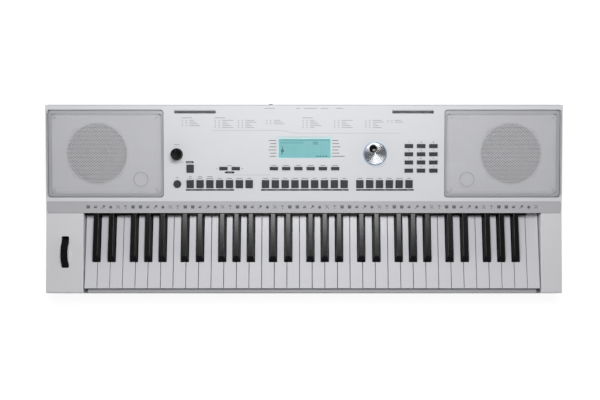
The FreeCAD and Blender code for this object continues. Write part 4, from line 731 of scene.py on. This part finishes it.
def add_net(bm, middle_x, middle_y, width, height, radius, pitch, share, low, high):
    """Perforated sheet: six-sided cells that share their corners, each with a six-sided hole."""
    cell = pitch / math.sqrt(3)
    row_step = pitch * math.sqrt(3) / 2
    turns = [math.radians(30 + 60 * k) for k in range(6)]
    corners = {}
    sides = {}

    def corner(x, y):
        """Key of a corner, which neighbours share where they agree to a fiftieth of a millimetre."""
        key = (round(x * 50), round(y * 50))
        if key not in corners:
            corners[key] = [bm.verts.new((middle_x + x, middle_y + y, level)) for level in (low, high)]
        return key

    rows = int(height / 2 / row_step) + 1
    columns = int(width / 2 / pitch) + 1
    for row in range(-rows, rows + 1):
        for column in range(-columns, columns + 1):
            x = (column + 0.5 * (row % 2)) * pitch
            y = row * row_step
            if not inside_rounded(x, y, width, height, radius):
                continue
            outer = [corner(x + cell * math.cos(a), y + cell * math.sin(a)) for a in turns]
            hole = [(middle_x + x + share * cell * math.cos(a), middle_y + y + share * cell * math.sin(a))
                    for a in turns]
            under = [bm.verts.new((px, py, low)) for px, py in hole]
            over = [bm.verts.new((px, py, high)) for px, py in hole]
            for i in range(6):
                j = (i + 1) % 6
                start, end = corners[outer[i]], corners[outer[j]]
                bm.faces.new((start[1], end[1], over[j], over[i]))
                bm.faces.new((end[0], start[0], under[i], under[j]))
                bm.faces.new((over[i], over[j], under[j], under[i]))
                side = tuple(sorted((outer[i], outer[j])))
                sides[side] = sides.get(side, 0) + 1
    for (first, last), uses in sides.items():
        if uses == 1:
            bm.faces.new((corners[first][0], corners[last][0], corners[last][1], corners[first][1]))


def grille_area(side, inset):
    """Middle, width and length of a grille drawn in by an inset, which is less beside the controls."""
    inner = inset * INNER_SHARE
    return side * (GRILLE_X - (inset - inner) / 2), GRILLE_WIDTH - inset - inner, GRILLE_LENGTH - 2 * inset


class KEYBOARD_OT_make_grilles(bpy.types.Operator):
    """Make the perforated grilles with their bevelled rims and port rings"""
    bl_idname = "keyboard.make_grilles"
    bl_label = "Make grilles"

    def execute(self, context):
        details = context.scene.keyboard_details
        for side, word in SIDES:
            make_piece("grille_sheet_" + word, "grille", "grille_metal", self.add_sheet, side,
                       details.pitch / MM, details.hole, stands_for="speaker_grilles", smooth=False)
            make_piece("grille_rim_" + word, "rim", "grille_metal", self.add_rim, side)
            # The black seal also stands for the shade down in the gap around the rim
            make_piece("grille_shade_seal_" + word, "rubber", "rubber", self.add_shade_seal, side, smooth=False)
            make_piece("port_ring_" + word, "slip", "slip_grey", add_ring, side * PORT_X, PORT_RISE,
                       *PORT_RADII, *PORT_HEIGHTS, 0.4)
        return {"FINISHED"}

    def add_sheet(self, bm, side, pitch, share):
        """Perforated sheet inside the bevel, kept half a pitch from it."""
        x, width, length = grille_area(side, BEVEL)
        add_net(bm, x, GRILLE_RISE, width - pitch, length - pitch, GRILLE_ROUND, pitch, share, -SHEET, 0.0)

    def add_rim(self, bm, side):
        """Bevelled rim around the sheet."""
        layers = []
        for inset, height, radius in RIM_LINES:
            x, width, length = grille_area(side, inset)
            layers.append((rounded(x, GRILLE_RISE, width, length, radius), height))
        add_layers(bm, layers, True)

    def add_shade_seal(self, bm, side):
        """Black dust seal around the rim, which also darkens the gap as painted shade."""
        outlines = []
        for outset in SEAL_OUTSETS:
            width, length = GRILLE_WIDTH + 2 * outset, GRILLE_LENGTH + 2 * outset
            outlines.append(rounded(side * GRILLE_X, GRILLE_RISE, width, length, GRILLE_ROUND + outset))
        add_band(bm, *outlines, *SEAL_HEIGHTS)


class KEYBOARD_OT_finish_speakers(bpy.types.Operator):
    """Finish the loudspeakers behind the grilles"""
    bl_idname = "keyboard.finish_speakers"
    bl_label = "Finish speakers"

    def execute(self, context):
        dress("basket", "speaker_frames")
        dress("paper", "speaker_cones")
        dress("steel", "grille_screws")
        for side, word in SIDES:
            make_piece("speaker_gasket_" + word, "foam", "basket", self.add_gasket, side * SPEAKER_X)
            make_piece("speaker_surround_" + word, "rubber", "rubber", self.add_surround, side * SPEAKER_X)
        return {"FINISHED"}

    def add_gasket(self, bm, x):
        """Foam ring around the opening, with four mounting tabs."""

        def reach(angle):
            return GASKET_RADII[1] + GASKET_TAB * max(0.0, math.cos(4 * (angle - math.pi / 4))) ** 8

        inner = circle(x, GRILLE_RISE, GASKET_RADII[0], GASKET_STEPS)
        outer = turned(x, GRILLE_RISE, GASKET_STEPS, reach)
        add_band(bm, inner, outer, *GASKET_HEIGHTS)

    def add_surround(self, bm, x):
        """Half-round roll that carries the edge of the cone."""
        angles = [math.pi * i / ROLL_STEPS for i in range(ROLL_STEPS + 1)]
        section = [(ROLL_RADIUS + ROLL_HALF * math.cos(a), ROLL_LEVEL + ROLL_HEIGHT * math.sin(a))
                   for a in angles]
        add_turning(bm, x, GRILLE_RISE, section, 96, True)


# Controls

# Radius, bottom, top and depth of the flutes of the volume knob
VOLUME_RADIUS = 11.1
VOLUME_LOW = 0.8
VOLUME_HIGH = 14.7
VOLUME_CUT = 0.7
# Pointer: how far out its middle lies, its width, length and corner round, and how deep it is let in
VOLUME_POINTER = (5.9, 0.9, 4.6, 0.4, 0.6)
HUB_BORE = 3.2
TYRE = 2.6
TYRE_EDGE = 0.6
TYRE_RIBS = 100
RIB_DEPTH = 0.25
THUMB_RADIUS = 3.0
THUMB_DEPTH = 1.6
# Face of the data dial, the middle of its finger cup, and the rim of the cup
FACE_RADIUS = 19.8
FACE_HEIGHTS = (7.6, 7.95)
CUP_X = DIAL_X - 3.4
CUP_RISE = DIAL_RISE + 8.9
CUP_RADIUS = 7.5
CUP_RIM_RADII = (6.9, 8.3)
CUP_RIM_HEIGHTS = (7.7, 8.15)


def add_knob(bm, x, y, radius, low, high, flutes, cut):
    """A knob with a plain skirt, a fluted grip and a dished top."""
    tall = high - low
    # Radius, depth of the flutes and height of each line around the knob, from the skirt to the top
    lines = ((radius - 0.3, 0, low), (radius, 0, low + 0.08 * tall), (radius, 0, low + 0.16 * tall),
             (radius - 0.35, cut * 0.2, low + 0.2 * tall), (radius - 0.45, cut, low + 0.3 * tall),
             (radius - 0.8, cut, low + 0.86 * tall), (radius - 1.1, cut * 0.5, low + 0.95 * tall),
             (radius - 1.8, 0, high), (radius - 2.6, 0, high), (radius - 3.2, 0, high - 0.3),
             (1.0, 0, high - 0.6))
    layers = []
    for reach, depth, height in lines:
        outline = turned(x, y, flutes * 8, lambda a: reach - depth * (0.5 - 0.5 * math.cos(flutes * a)) ** 2)
        layers.append((outline, height))
    add_layers(bm, layers)


def make_knob(node, x, y, radius, low, high, flutes, cut, ink, pointer, place=PANEL):
    """A fluted knob in place of its CAD node, with a pointer let into its top."""
    make_piece(node + "_fluted", "knob", "knob_black", add_knob, x, y, radius, low, high, flutes, cut,
               body=node, place=place, stands_for=node)
    out, width, length, corner, depth = pointer
    outline = rounded(x, y + out, width, length, corner)
    make_piece(node.replace("knob", "pointer"), ink, "knob_black", add_prism, outline, high - depth,
               high - 0.02, body=node, place=place)


class KEYBOARD_OT_finish_controls(bpy.types.Operator):
    """Finish the buttons, the volume knob and the pitch wheel"""
    bl_idname = "keyboard.finish_controls"
    bl_label = "Finish controls"

    def execute(self, context):
        buttons = [name for name in NODES if "button" in name or name == "keypad"]
        dress("button", *buttons)
        self.make_wheel()
        flutes = context.scene.keyboard_details.flutes
        make_knob("volume_knob", VOLUME_X, VOLUME_RISE, VOLUME_RADIUS, VOLUME_LOW, VOLUME_HIGH, flutes,
                  VOLUME_CUT, "button", VOLUME_POINTER)
        return {"FINISHED"}

    def make_wheel(self):
        """White hub on its spindle, with a ribbed black tyre that has a notch for the thumb."""
        low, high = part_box("pitch_wheel")
        half = (high.x - low.x) / MM / 2
        radius = (high.y - low.y) / MM / 2
        point = joint_point("pitch_wheel_turn")
        point.x = (low.x + high.x) / 2
        place = place_in_mm(point, (0, 1, 0), (0, 0, 1), (1, 0, 0))
        make_piece("pitch_wheel_hub", "case", "white_abs", add_ring, 0, 0, HUB_BORE, radius - TYRE,
                   -half, half, 0.15, 96, body="pitch_wheel", place=place, stands_for="pitch_wheel")
        section = ((TYRE, -half), (TYRE_EDGE, -half), (0, TYRE_EDGE - half), (0, half - TYRE_EDGE),
                   (TYRE_EDGE, half), (TYRE, half))
        layers = [(self.tread(radius, inset), across) for inset, across in section]
        make_piece("pitch_wheel_tyre", "rubber", "rubber", add_layers, layers, True, body="pitch_wheel",
                   place=place)

    def tread(self, radius, inset):
        """One line around the tyre, with ribs and the thumb notch except on its inner face."""

        def reach(angle):
            if inset == TYRE:
                return radius - inset
            aside = radius * abs(math.remainder(angle - math.pi / 2, 2 * math.pi))
            notch = math.sqrt(max(THUMB_RADIUS ** 2 - aside ** 2, 0)) - (THUMB_RADIUS - THUMB_DEPTH)
            return radius - inset - max(notch, RIB_DEPTH * (0.5 - 0.5 * math.cos(TYRE_RIBS * angle)))

        return turned(0, 0, TYRE_RIBS * 6, reach)


class KEYBOARD_OT_finish_dial(bpy.types.Operator):
    """Finish the data dial, its finger cup and its lit ring"""
    bl_idname = "keyboard.finish_dial"
    bl_label = "Finish dial"

    def execute(self, context):
        dress("dial_edge", "data_dial")
        dress("ring", "dial_light_ring")
        dress("cup", "dial_finger_cup")
        edge = circle(DIAL_X, DIAL_RISE, FACE_RADIUS, 128)
        hole = circle(CUP_X, CUP_RISE, CUP_RADIUS, 128)
        make_piece("dial_face", "dial_face", "spun_aluminium", add_band, hole, edge, *FACE_HEIGHTS,
                   body="data_dial", smooth=False)
        make_piece("finger_cup_rim", "bright", "spun_aluminium", add_ring, CUP_X, CUP_RISE, *CUP_RIM_RADII,
                   *CUP_RIM_HEIGHTS, 0.3, body="data_dial")
        return {"FINISHED"}


# Display

GLASS_X = 1.2
GLASS_RISE = 120.2
GLASS_WIDTH = 96.4
GLASS_LENGTH = 34.6
GLASS_TOP = -4.0
GLASS_BOTTOM = -4.8
GLASS_EDGE = 0.3
GLASS_LEFT = GLASS_X - GLASS_WIDTH / 2
GLASS_FRONT = GLASS_RISE - GLASS_LENGTH / 2
PANE = rounded(GLASS_X, 121.5, 102.0, 41.0, 0.6, 3)
PANE_THICK = 2.0
SEGMENT_LOW = GLASS_TOP - 0.02
CLEF_LINE = 1.0
CLEF_X = GLASS_LEFT + 6.5
CLEF_RISE = GLASS_FRONT + 13.0
# Width, height and line of a digit of seven bars, the gap to the next one, and the bars that the digits light
DIGIT_WIDTH = 2.6
DIGIT_HEIGHT = 4.6
DIGIT_LINE = 0.5
DIGIT_GAP = 1.2
SEGMENTS = {"0": "abcdef", "1": "bc", "2": "abged"}


class KEYBOARD_OT_make_display(bpy.types.Operator):
    """Make the display glass, its segments and the window over them"""
    bl_idname = "keyboard.make_display"
    bl_label = "Make display"

    def execute(self, context):
        dress("border", "display_module")
        make_piece("display_glass", "display", "display", self.add_glass)
        make_piece("display_window_pane", "window", "window", add_prism, PANE, -PANE_THICK, 0.0,
                   stands_for="display_window")
        make_piece("display_faint_segments", "faint_segment", "display", self.add_faint, smooth=False)
        make_piece("display_dark_segments", "segment", "display", self.add_dark, smooth=False)
        return {"FINISHED"}

    def add_glass(self, bm):
        """Plate of glass with a fine bevel around its face."""
        outer = rounded(GLASS_X, GLASS_RISE, GLASS_WIDTH, GLASS_LENGTH, 0.8, 3)
        edges = 2 * GLASS_EDGE
        face = rounded(GLASS_X, GLASS_RISE, GLASS_WIDTH - edges, GLASS_LENGTH - edges, 0.5, 3)
        add_layers(bm, [(outer, GLASS_BOTTOM), (outer, GLASS_TOP - GLASS_EDGE), (face, GLASS_TOP)])

    def add_bar(self, bm, left, right, bottom, top, height=0.06):
        """A segment measured from the lower left corner of the glass."""
        outline = rectangle(GLASS_LEFT + (left + right) / 2, GLASS_FRONT + (bottom + top) / 2, right - left,
                            top - bottom)
        add_prism(bm, outline, SEGMENT_LOW, GLASS_TOP + height)

    def add_row(self, bm, count, left, step, width, bottom, top, height=0.06):
        """Like segments side by side."""
        for i in range(count):
            self.add_bar(bm, left + step * i, left + step * i + width, bottom, top, height)

    def add_faint(self, bm):
        """Header band, staff lines, a chart of three columns and a row of blank letters."""
        self.add_bar(bm, 1.0, 95.4, 31.8, 34.0, 0.03)
        line = 0.3
        for left, right, bottom, step in ((2.5, 48.0, 8.0, 3.0), (52.0, 93.5, 5.0, 4.6)):
            for i in range(5):
                self.add_bar(bm, left, right, bottom + step * i, bottom + step * i + line)
        self.add_row(bm, 4, 52.0, 13.8, line, 5.0, 23.7)
        self.add_row(bm, 12, 4.0, 3.6, 2.4, 26.5, 29.5, 0.04)

    def add_dark(self, bm):
        """Clef sign, a number and a row of small marks."""
        self.add_clef(bm)
        self.add_digits(bm, "120", 62.0, 24.8)
        self.add_row(bm, 4, 70.0, 5.6, 3.6, 2.0, 3.6)

    def add_clef(self, bm):
        """Clef sign: a curl that winds outwards, a stem and a drop under it."""
        curl = []
        for i in range(25):
            angle = math.radians(-60 + 22 * i)
            reach = 0.7 + 0.105 * i
            curl.append((CLEF_X + reach * math.cos(angle), CLEF_RISE + reach * math.sin(angle)))
        stem = [(CLEF_X - 0.2 + 0.25 * math.sin(i * 0.9), CLEF_RISE + 8.5 - 1.45 * i) for i in range(11)]
        drop = circle(CLEF_X - 0.9, CLEF_RISE - 6.2, 0.9, 16)
        for outline in stroke(curl, CLEF_LINE) + stroke(stem, CLEF_LINE) + [drop]:
            add_prism(bm, outline, SEGMENT_LOW, GLASS_TOP + 0.1)

    def add_digits(self, bm, text, left, bottom):
        """Digits of seven bars."""
        wide, tall, line = DIGIT_WIDTH, DIGIT_HEIGHT, DIGIT_LINE
        half = tall / 2
        spans = {"a": (0, wide, tall - line, tall), "g": (0, wide, half - line / 2, half + line / 2),
                 "d": (0, wide, 0, line), "f": (0, line, half, tall), "b": (wide - line, wide, half, tall),
                 "e": (0, line, 0, half), "c": (wide - line, wide, 0, half)}
        for digit in text:
            for name in SEGMENTS[digit]:
                x0, x1, y0, y1 = spans[name]
                self.add_bar(bm, left + x0, left + x1, bottom + y0, bottom + y1)
            left += wide + DIGIT_GAP


# Print on the panel and on the strip

INK_SINK = 0.01
LABEL = 0.75
SMALL_PRINT = 0.9
LIST_PRINT = 0.8
FRAME_LINE = 0.4
BUTTON_STEP = 18.3
WIDE_STEP = 22.8
LEFT_ROW = [-211.8 + BUTTON_STEP * i for i in range(7)]
CENTRE_ROW = [-71.6 + BUTTON_STEP * i for i in range(9)]
RIGHT_ROW = [104.0 + BUTTON_STEP * i for i in range(6)]
DISPLAY_ROW = [-56.0 + WIDE_STEP * i for i in range(6)]
KEYPAD_X = [195.0 + WIDE_STEP * i for i in range(3)]
KEYPAD_RISE = [78.9 + 15.2 * i for i in range(4)]
KEYPAD_SIGNS = ("-0+", "789", "456", "123")
SIGN_SIZE = 3.4
LABEL_RISE = 64.6
SECOND_RISE = 67.6
DISPLAY_LABEL_RISE = 88.6
# Lists on both sides of the display: the edges that face it, their first line, line step and thickness
SIDE_EDGES = (-51.6, 52.8)
SIDE_TOP = 134.8
SIDE_STEP = 5.86
SIDE_PRINT = 1.1
# Black bars under the rows, from edge to edge, and the tabs over the upper button and under the tempo buttons
BARS = ((-220.0, -130.0), (-80.0, 83.0), (97.0, 204.5))
BAR_RISE = 43.0
BAR_THICK = 2.8
BAR_DASH_HALF = 3.0
UPPER_TAB_X = -212.4
UPPER_TAB_RISE = 94.5
TEMPO_X = -138.3
TEMPO_RISE = 82.6
TEMPO_TAB_RISE = 75.6
TEMPO_LABEL_RISE = 87.9
# Left edge, number of lines and whether a header stands over it, for each column of the sound list
LIST_COLUMNS = ((-227.0, 4, True), (-166.0, 5, True), (-122.8, 5, False), (-70.3, 3, False), (-2.9, 5, True),
                (55.9, 5, False), (113.6, 5, False), (154.6, 2, False))
LIST_TOP = 172.2
LIST_STEP = 3.3
HEADER_RISE = 176.8
HEADER = 19.0
LIST_FRAME = ((-170.0, 153.6), (-42.0, 153.6), (-15.0, 148.4), (178.0, 148.4))
# Names of the sockets along the back edge, from edge to edge
BACK_NAMES = ((-74.0, -54.0), (-14.8, -7.4), (0.0, 24.3), (31.7, 44.8), (59.7, 72.7))
BACK_RISE = 194.3


class Print:
    """Collects marks of one ink, then lays them on the panel."""

    def __init__(self, height):
        self.outlines = []
        self.height = height

    def dash(self, x0, x1, rise, thick=LABEL):
        self.outlines.append(rectangle((x0 + x1) / 2, rise, x1 - x0, thick))

    def fill(self, bm):
        for outline in self.outlines:
            add_prism(bm, outline, -INK_SINK, self.height)

    def lay(self, name, finish, slot):
        make_piece(name, finish, slot, self.fill, smooth=False)


class KEYBOARD_OT_print_panel(bpy.types.Operator):
    """Print the plain marks, bars and numbers on the panel"""
    bl_idname = "keyboard.print_panel"
    bl_label = "Print panel"

    def execute(self, context):
        height = context.scene.keyboard_details.ink_height / MM
        bars, dark, pale, white = Print(height), Print(height), Print(height), Print(height * 2)
        self.print_bars(bars, white)
        self.print_labels(dark, pale)
        self.print_lists(pale)
        bars.lay("panel_print_bars", "bar_ink", "button_grey")
        dark.lay("panel_print_dark", "ink", "button_grey")
        pale.lay("panel_print_pale", "pale_ink", "slip_grey")
        white.lay("panel_print_white", "white_ink", "white_abs")
        make_piece("keypad_numbers", "bar_ink", "button_grey", self.add_numbers, height, smooth=False)
        return {"FINISHED"}

    def print_bars(self, bars, white):
        """Black bars under the rows, with white dashes in them, and the black tabs."""
        for x0, x1 in BARS:
            bars.dash(x0, x1, BAR_RISE, BAR_THICK)
            count = int((x1 - x0) / BUTTON_STEP)
            for i in range(count):
                middle = x0 + (i + 0.5) * (x1 - x0) / count
                white.dash(middle - BAR_DASH_HALF, middle + BAR_DASH_HALF, BAR_RISE, 0.3)
        bars.outlines.append(rounded(UPPER_TAB_X, UPPER_TAB_RISE, 14.2, 3.6, 0.8, 3))
        white.dash(-217.0, -208.0, UPPER_TAB_RISE, 0.6)
        tip, shoulder, half = 10.1, 6.7, 1.8
        tab = ((-tip, 0), (-shoulder, -half), (shoulder, -half), (tip, 0), (shoulder, half),
               (-shoulder, half))
        bars.outlines.append([(TEMPO_X + across, TEMPO_TAB_RISE + up) for across, up in tab])
        white.dash(TEMPO_X - 4.7, TEMPO_X + 4.7, TEMPO_TAB_RISE, 0.4)

    def print_labels(self, dark, pale):
        """Dashes for the labels, of three lengths in turn, with a second line over the first three."""
        for i, x in enumerate(LEFT_ROW + CENTRE_ROW + RIGHT_ROW):
            half = 3.4 + 1.3 * (i * 7 % 3)
            dark.dash(x - half, x + half, LABEL_RISE)
            if i < 3:
                dark.dash(x - half + 1.2, x + half - 0.6, SECOND_RISE)
        dark.dash(-238.0, -233.6, 66.0)
        for i, x in enumerate(DISPLAY_ROW):
            dark.dash(x - 4.2 - i % 2, x + 4.2 + i % 2, DISPLAY_LABEL_RISE)
        dark.dash(TEMPO_X - 4.3, TEMPO_X + 4.3, TEMPO_LABEL_RISE)
        for x, half, thick in ((-162.6, 1.0, 0.6), (-114.5, 1.0, 0.6), (-114.5, 0.3, 2.0)):
            dark.dash(x - half, x + half, TEMPO_RISE, thick)
        for i in range(6):
            rise = SIDE_TOP - SIDE_STEP * i
            dark.dash(-65.6 + 1.4 * (i * 5 % 3), SIDE_EDGES[0], rise, SIDE_PRINT)
            dark.dash(SIDE_EDGES[1], 63.6 + 2.0 * (i * 4 % 3) + (8.0 if i == 5 else 0.0), rise, SIDE_PRINT)
        for x0, x1, rise in ((-5.0, 5.0, 127.3), (-12.0, -7.0, 94.5), (7.0, 12.0, 94.5)):
            pale.dash(VOLUME_X + x0, VOLUME_X + x1, rise, SMALL_PRINT)
        for x0, x1 in BACK_NAMES:
            pale.dash(x0, x1, BACK_RISE, SMALL_PRINT)

    def print_lists(self, pale):
        """Rows of short dashes where the sound list stands, and two thin frame lines."""
        for column, (left, lines, header) in enumerate(LIST_COLUMNS):
            if header:
                pale.dash(left, left + HEADER, HEADER_RISE, 1.0)
            for line in range(lines):
                reach = 8.0 + (line * 5 + column * 3) % 4 * 4.2
                for x0, length in ((0.0, 2.6), (7.0, 2.8), (14.0, reach)):
                    pale.dash(left + x0, left + x0 + length, LIST_TOP - LIST_STEP * line, LIST_PRINT)
        pale.outlines += stroke(LIST_FRAME, FRAME_LINE)
        pale.dash(-134.0, -62.0, 70.8, FRAME_LINE)

    def add_numbers(self, bm, height):
        """Plain numbers and signs over the keypad."""
        for rise, text in zip(KEYPAD_RISE, KEYPAD_SIGNS):
            for x, sign in zip(KEYPAD_X, text):
                self.add_sign(bm, sign, x, rise + 7.4, height)

    def add_sign(self, bm, sign, x, rise, height):
        """One sign, cut from the built-in font and laid flat."""
        curve = bpy.data.curves.new("sign", "FONT")
        curve.body = sign
        curve.align_x = "CENTER"
        curve.align_y = "CENTER"
        curve.size = SIGN_SIZE
        curve.offset = 0.1
        curve.extrude = height / 2
        holder = bpy.data.objects.new("sign", curve)
        mesh = bpy.data.meshes.new_from_object(holder)
        mesh.transform(Matrix.Translation((x, rise, height / 2)))
        bm.from_mesh(mesh)
        bpy.data.meshes.remove(mesh)
        bpy.data.objects.remove(holder)
        bpy.data.curves.remove(curve)


KEYS = 61
ICON_RISE = 11.2
ICON_SCALE = 1.3
# Percussion signs, as outlines around their middle before they are scaled
DRUM = ([(-2.6, 1.2), (-2.3, -2.2), (2.3, -2.2), (2.6, 1.2)], rounded(0, 2.0, 5.6, 0.9, 0.4, 3))
CYMBAL = ([(-3.0, 1.2), (0, 0.7), (3.0, 1.2), (0, 2.4)], rectangle(0, -1.1, 0.6, 3.2),
          [(-1.6, -2.7), (1.6, -2.7), (0, -2.0)])
STICKS = (*stroke([(-2.4, -2.2), (2.0, 2.2)], 0.8), *stroke([(2.4, -2.2), (0.5, -0.3)], 0.8),
          circle(-1.9, 1.9, 0.8, 12))
BELL = ([(-2.4, -1.8), (2.4, -1.8), (1.2, 1.8), (-1.2, 1.8)], circle(0, -2.6, 0.6, 12))
SHAKER = (circle(1.0, 1.0, 1.7, 16), *stroke([(-2.4, -2.4), (-0.4, -0.4)], 0.9))
BLOCK = ([(-2.6, -1.6), (1.6, -1.6), (1.6, 0.4), (-2.6, 0.4)],
         [(-2.2, 0.9), (2.0, 0.9), (2.8, 1.8), (-1.2, 1.8)])
ICONS = (DRUM, CYMBAL, STICKS, BELL, SHAKER, BLOCK)


class KEYBOARD_OT_print_strip(bpy.types.Operator):
    """Print a small percussion sign over each key"""
    bl_idname = "keyboard.print_strip"
    bl_label = "Print strip"

    def execute(self, context):
        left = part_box("octave_1_keys_cegb")[0].x / MM
        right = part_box("top_c_key")[1].x / MM
        step = (right - left) / KEYS
        ink = Print(context.scene.keyboard_details.ink_height / MM)
        for i in range(KEYS):
            x = left + (i + 0.5) * step
            for outline in ICONS[(i * 5 + i // 7) % len(ICONS)]:
                ink.outlines.append([(x + ICON_SCALE * across, ICON_RISE + ICON_SCALE * up)
                                     for across, up in outline])
        ink.lay("strip_print", "strip_ink", "slip_grey")
        return {"FINISHED"}


# Back, in millimetres as seen from behind

SOCKET_LEVEL = 80.27
# Place and radius of the noses that the ring nuts hold
NOSES = ((-38.0, 5.25), (13.0, 5.25), (37.0, 5.25), (-10.0, 3.45))
NUT_WIDTH = 2.0
INLET_X = 66.0
# Radii and heights of the pin in the inlet
PIN = ((1.0, -11.0), (1.0, -1.6), (0.7, -1.0), (0.2, -0.8))
USB_X = 95.0
MIC_RADIUS = 5.5
MIC_FLUTES = 16
MIC_CUT = 0.45
MIC_POINTER = (2.6, 0.6, 2.4, 0.25, 0.5)
# Place and half length of the marks under the sockets
MARKS = ((-62.0, 4.0), (-38.0, 5.0), (-10.0, 4.0), (13.0, 6.0), (37.0, 5.0), (INLET_X, 4.5), (USB_X, 3.5))
MARK_LEVEL = 70.4


class KEYBOARD_OT_finish_rear(bpy.types.Operator):
    """Finish the jack plate, the sockets and the microphone knob"""
    bl_idname = "keyboard.finish_rear"
    bl_label = "Finish rear"

    def execute(self, context):
        dress("knob", "rear_jack_plate", "rear_bay_frame")
        dress("socket", "audio_jacks", "power_inlet")
        dress("steel", "usb_socket")
        self.make_mic_knob()
        make_piece("socket_nuts", "steel", "steel", self.add_nuts, place=REAR)
        make_piece("inlet_pin", "steel", "steel", add_turning, -INLET_X, SOCKET_LEVEL, PIN, 24, place=REAR)
        tongue = rounded(-USB_X, SOCKET_LEVEL, 5.6, 3.2, 0.4, 3)
        tip = rounded(-USB_X, SOCKET_LEVEL, 5.0, 2.6, 0.3, 3)
        layers = ((tongue, -14.0), (tongue, -2.6), (tip, -2.0))
        make_piece("usb_tongue", "socket", "socket_black", add_layers, layers, place=REAR)
        make_piece("socket_marks", "white_ink", "white_abs", self.add_marks, place=REAR, smooth=False)
        return {"FINISHED"}

    def make_mic_knob(self):
        """Small fluted knob with a white pointer."""
        point = joint_point("mic_level_turn") / MM
        start, end = ((corner.y - PLATE_Y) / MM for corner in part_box("mic_level_knob"))
        make_knob("mic_level_knob", -point.x, point.z, MIC_RADIUS, start, end, MIC_FLUTES, MIC_CUT,
                  "white_ink", MIC_POINTER, place=REAR)

    def add_nuts(self, bm):
        """Twelve-sided ring nut on the nose of each jack and on the microphone knob's bush."""
        for x, nose in NOSES:
            edge = nose + NUT_WIDTH
            section = ((nose, 0.02), (edge, 0.02), (edge, 0.7), (edge - 0.4, 0.95), (nose, 0.95))
            add_turning(bm, -x, SOCKET_LEVEL, section, 12, True)

    def add_marks(self, bm):
        """Plain dash under each socket."""
        for x, half in MARKS:
            add_prism(bm, rectangle(-x, MARK_LEVEL, 2 * half, 0.9), -INK_SINK, 0.06)


OPERATORS = (
    KEYBOARD_OT_mix_finishes, KEYBOARD_OT_set_stage, KEYBOARD_OT_finish_case, KEYBOARD_OT_finish_keys,
    KEYBOARD_OT_finish_inside, KEYBOARD_OT_make_grilles, KEYBOARD_OT_finish_speakers,
    KEYBOARD_OT_finish_controls, KEYBOARD_OT_finish_dial, KEYBOARD_OT_make_display, KEYBOARD_OT_print_panel,
    KEYBOARD_OT_print_strip, KEYBOARD_OT_finish_rear)
GROUPS = {"keyboard_colours": KeyboardColours, "keyboard_details": KeyboardDetails,
          "keyboard_stage": KeyboardStage}


class KEYBOARD_PT_panel(bpy.types.Panel):
    """Lists the steps and the values that they use"""
    bl_label = "Arranger keyboard"
    bl_idname = "KEYBOARD_PT_panel"
    bl_space_type = "VIEW_3D"
    bl_region_type = "UI"
    bl_category = "Keyboard"

    def draw(self, context):
        for group_name in GROUPS:
            group = getattr(context.scene, group_name)
            box = self.layout.box()
            for name in group.bl_rna.properties.keys():
                if name not in ("rna_type", "name"):
                    box.prop(group, name)
        for step in OPERATORS:
            self.layout.operator(step.bl_idname)


def register():
    for name, group in GROUPS.items():
        bpy.utils.register_class(group)
        setattr(bpy.types.Scene, name, bpy.props.PointerProperty(type=group))
    for step in OPERATORS + (KEYBOARD_PT_panel,):
        bpy.utils.register_class(step)


def unregister():
    for step in (KEYBOARD_PT_panel,) + OPERATORS[::-1]:
        bpy.utils.unregister_class(step)
    for name, group in GROUPS.items():
        delattr(bpy.types.Scene, name)
        bpy.utils.unregister_class(group)


def main():
    register()
    for step in OPERATORS:
        group, name = step.bl_idname.split(".")
        getattr(getattr(bpy.ops, group), name)()


if __name__ == "__main__":
    main()
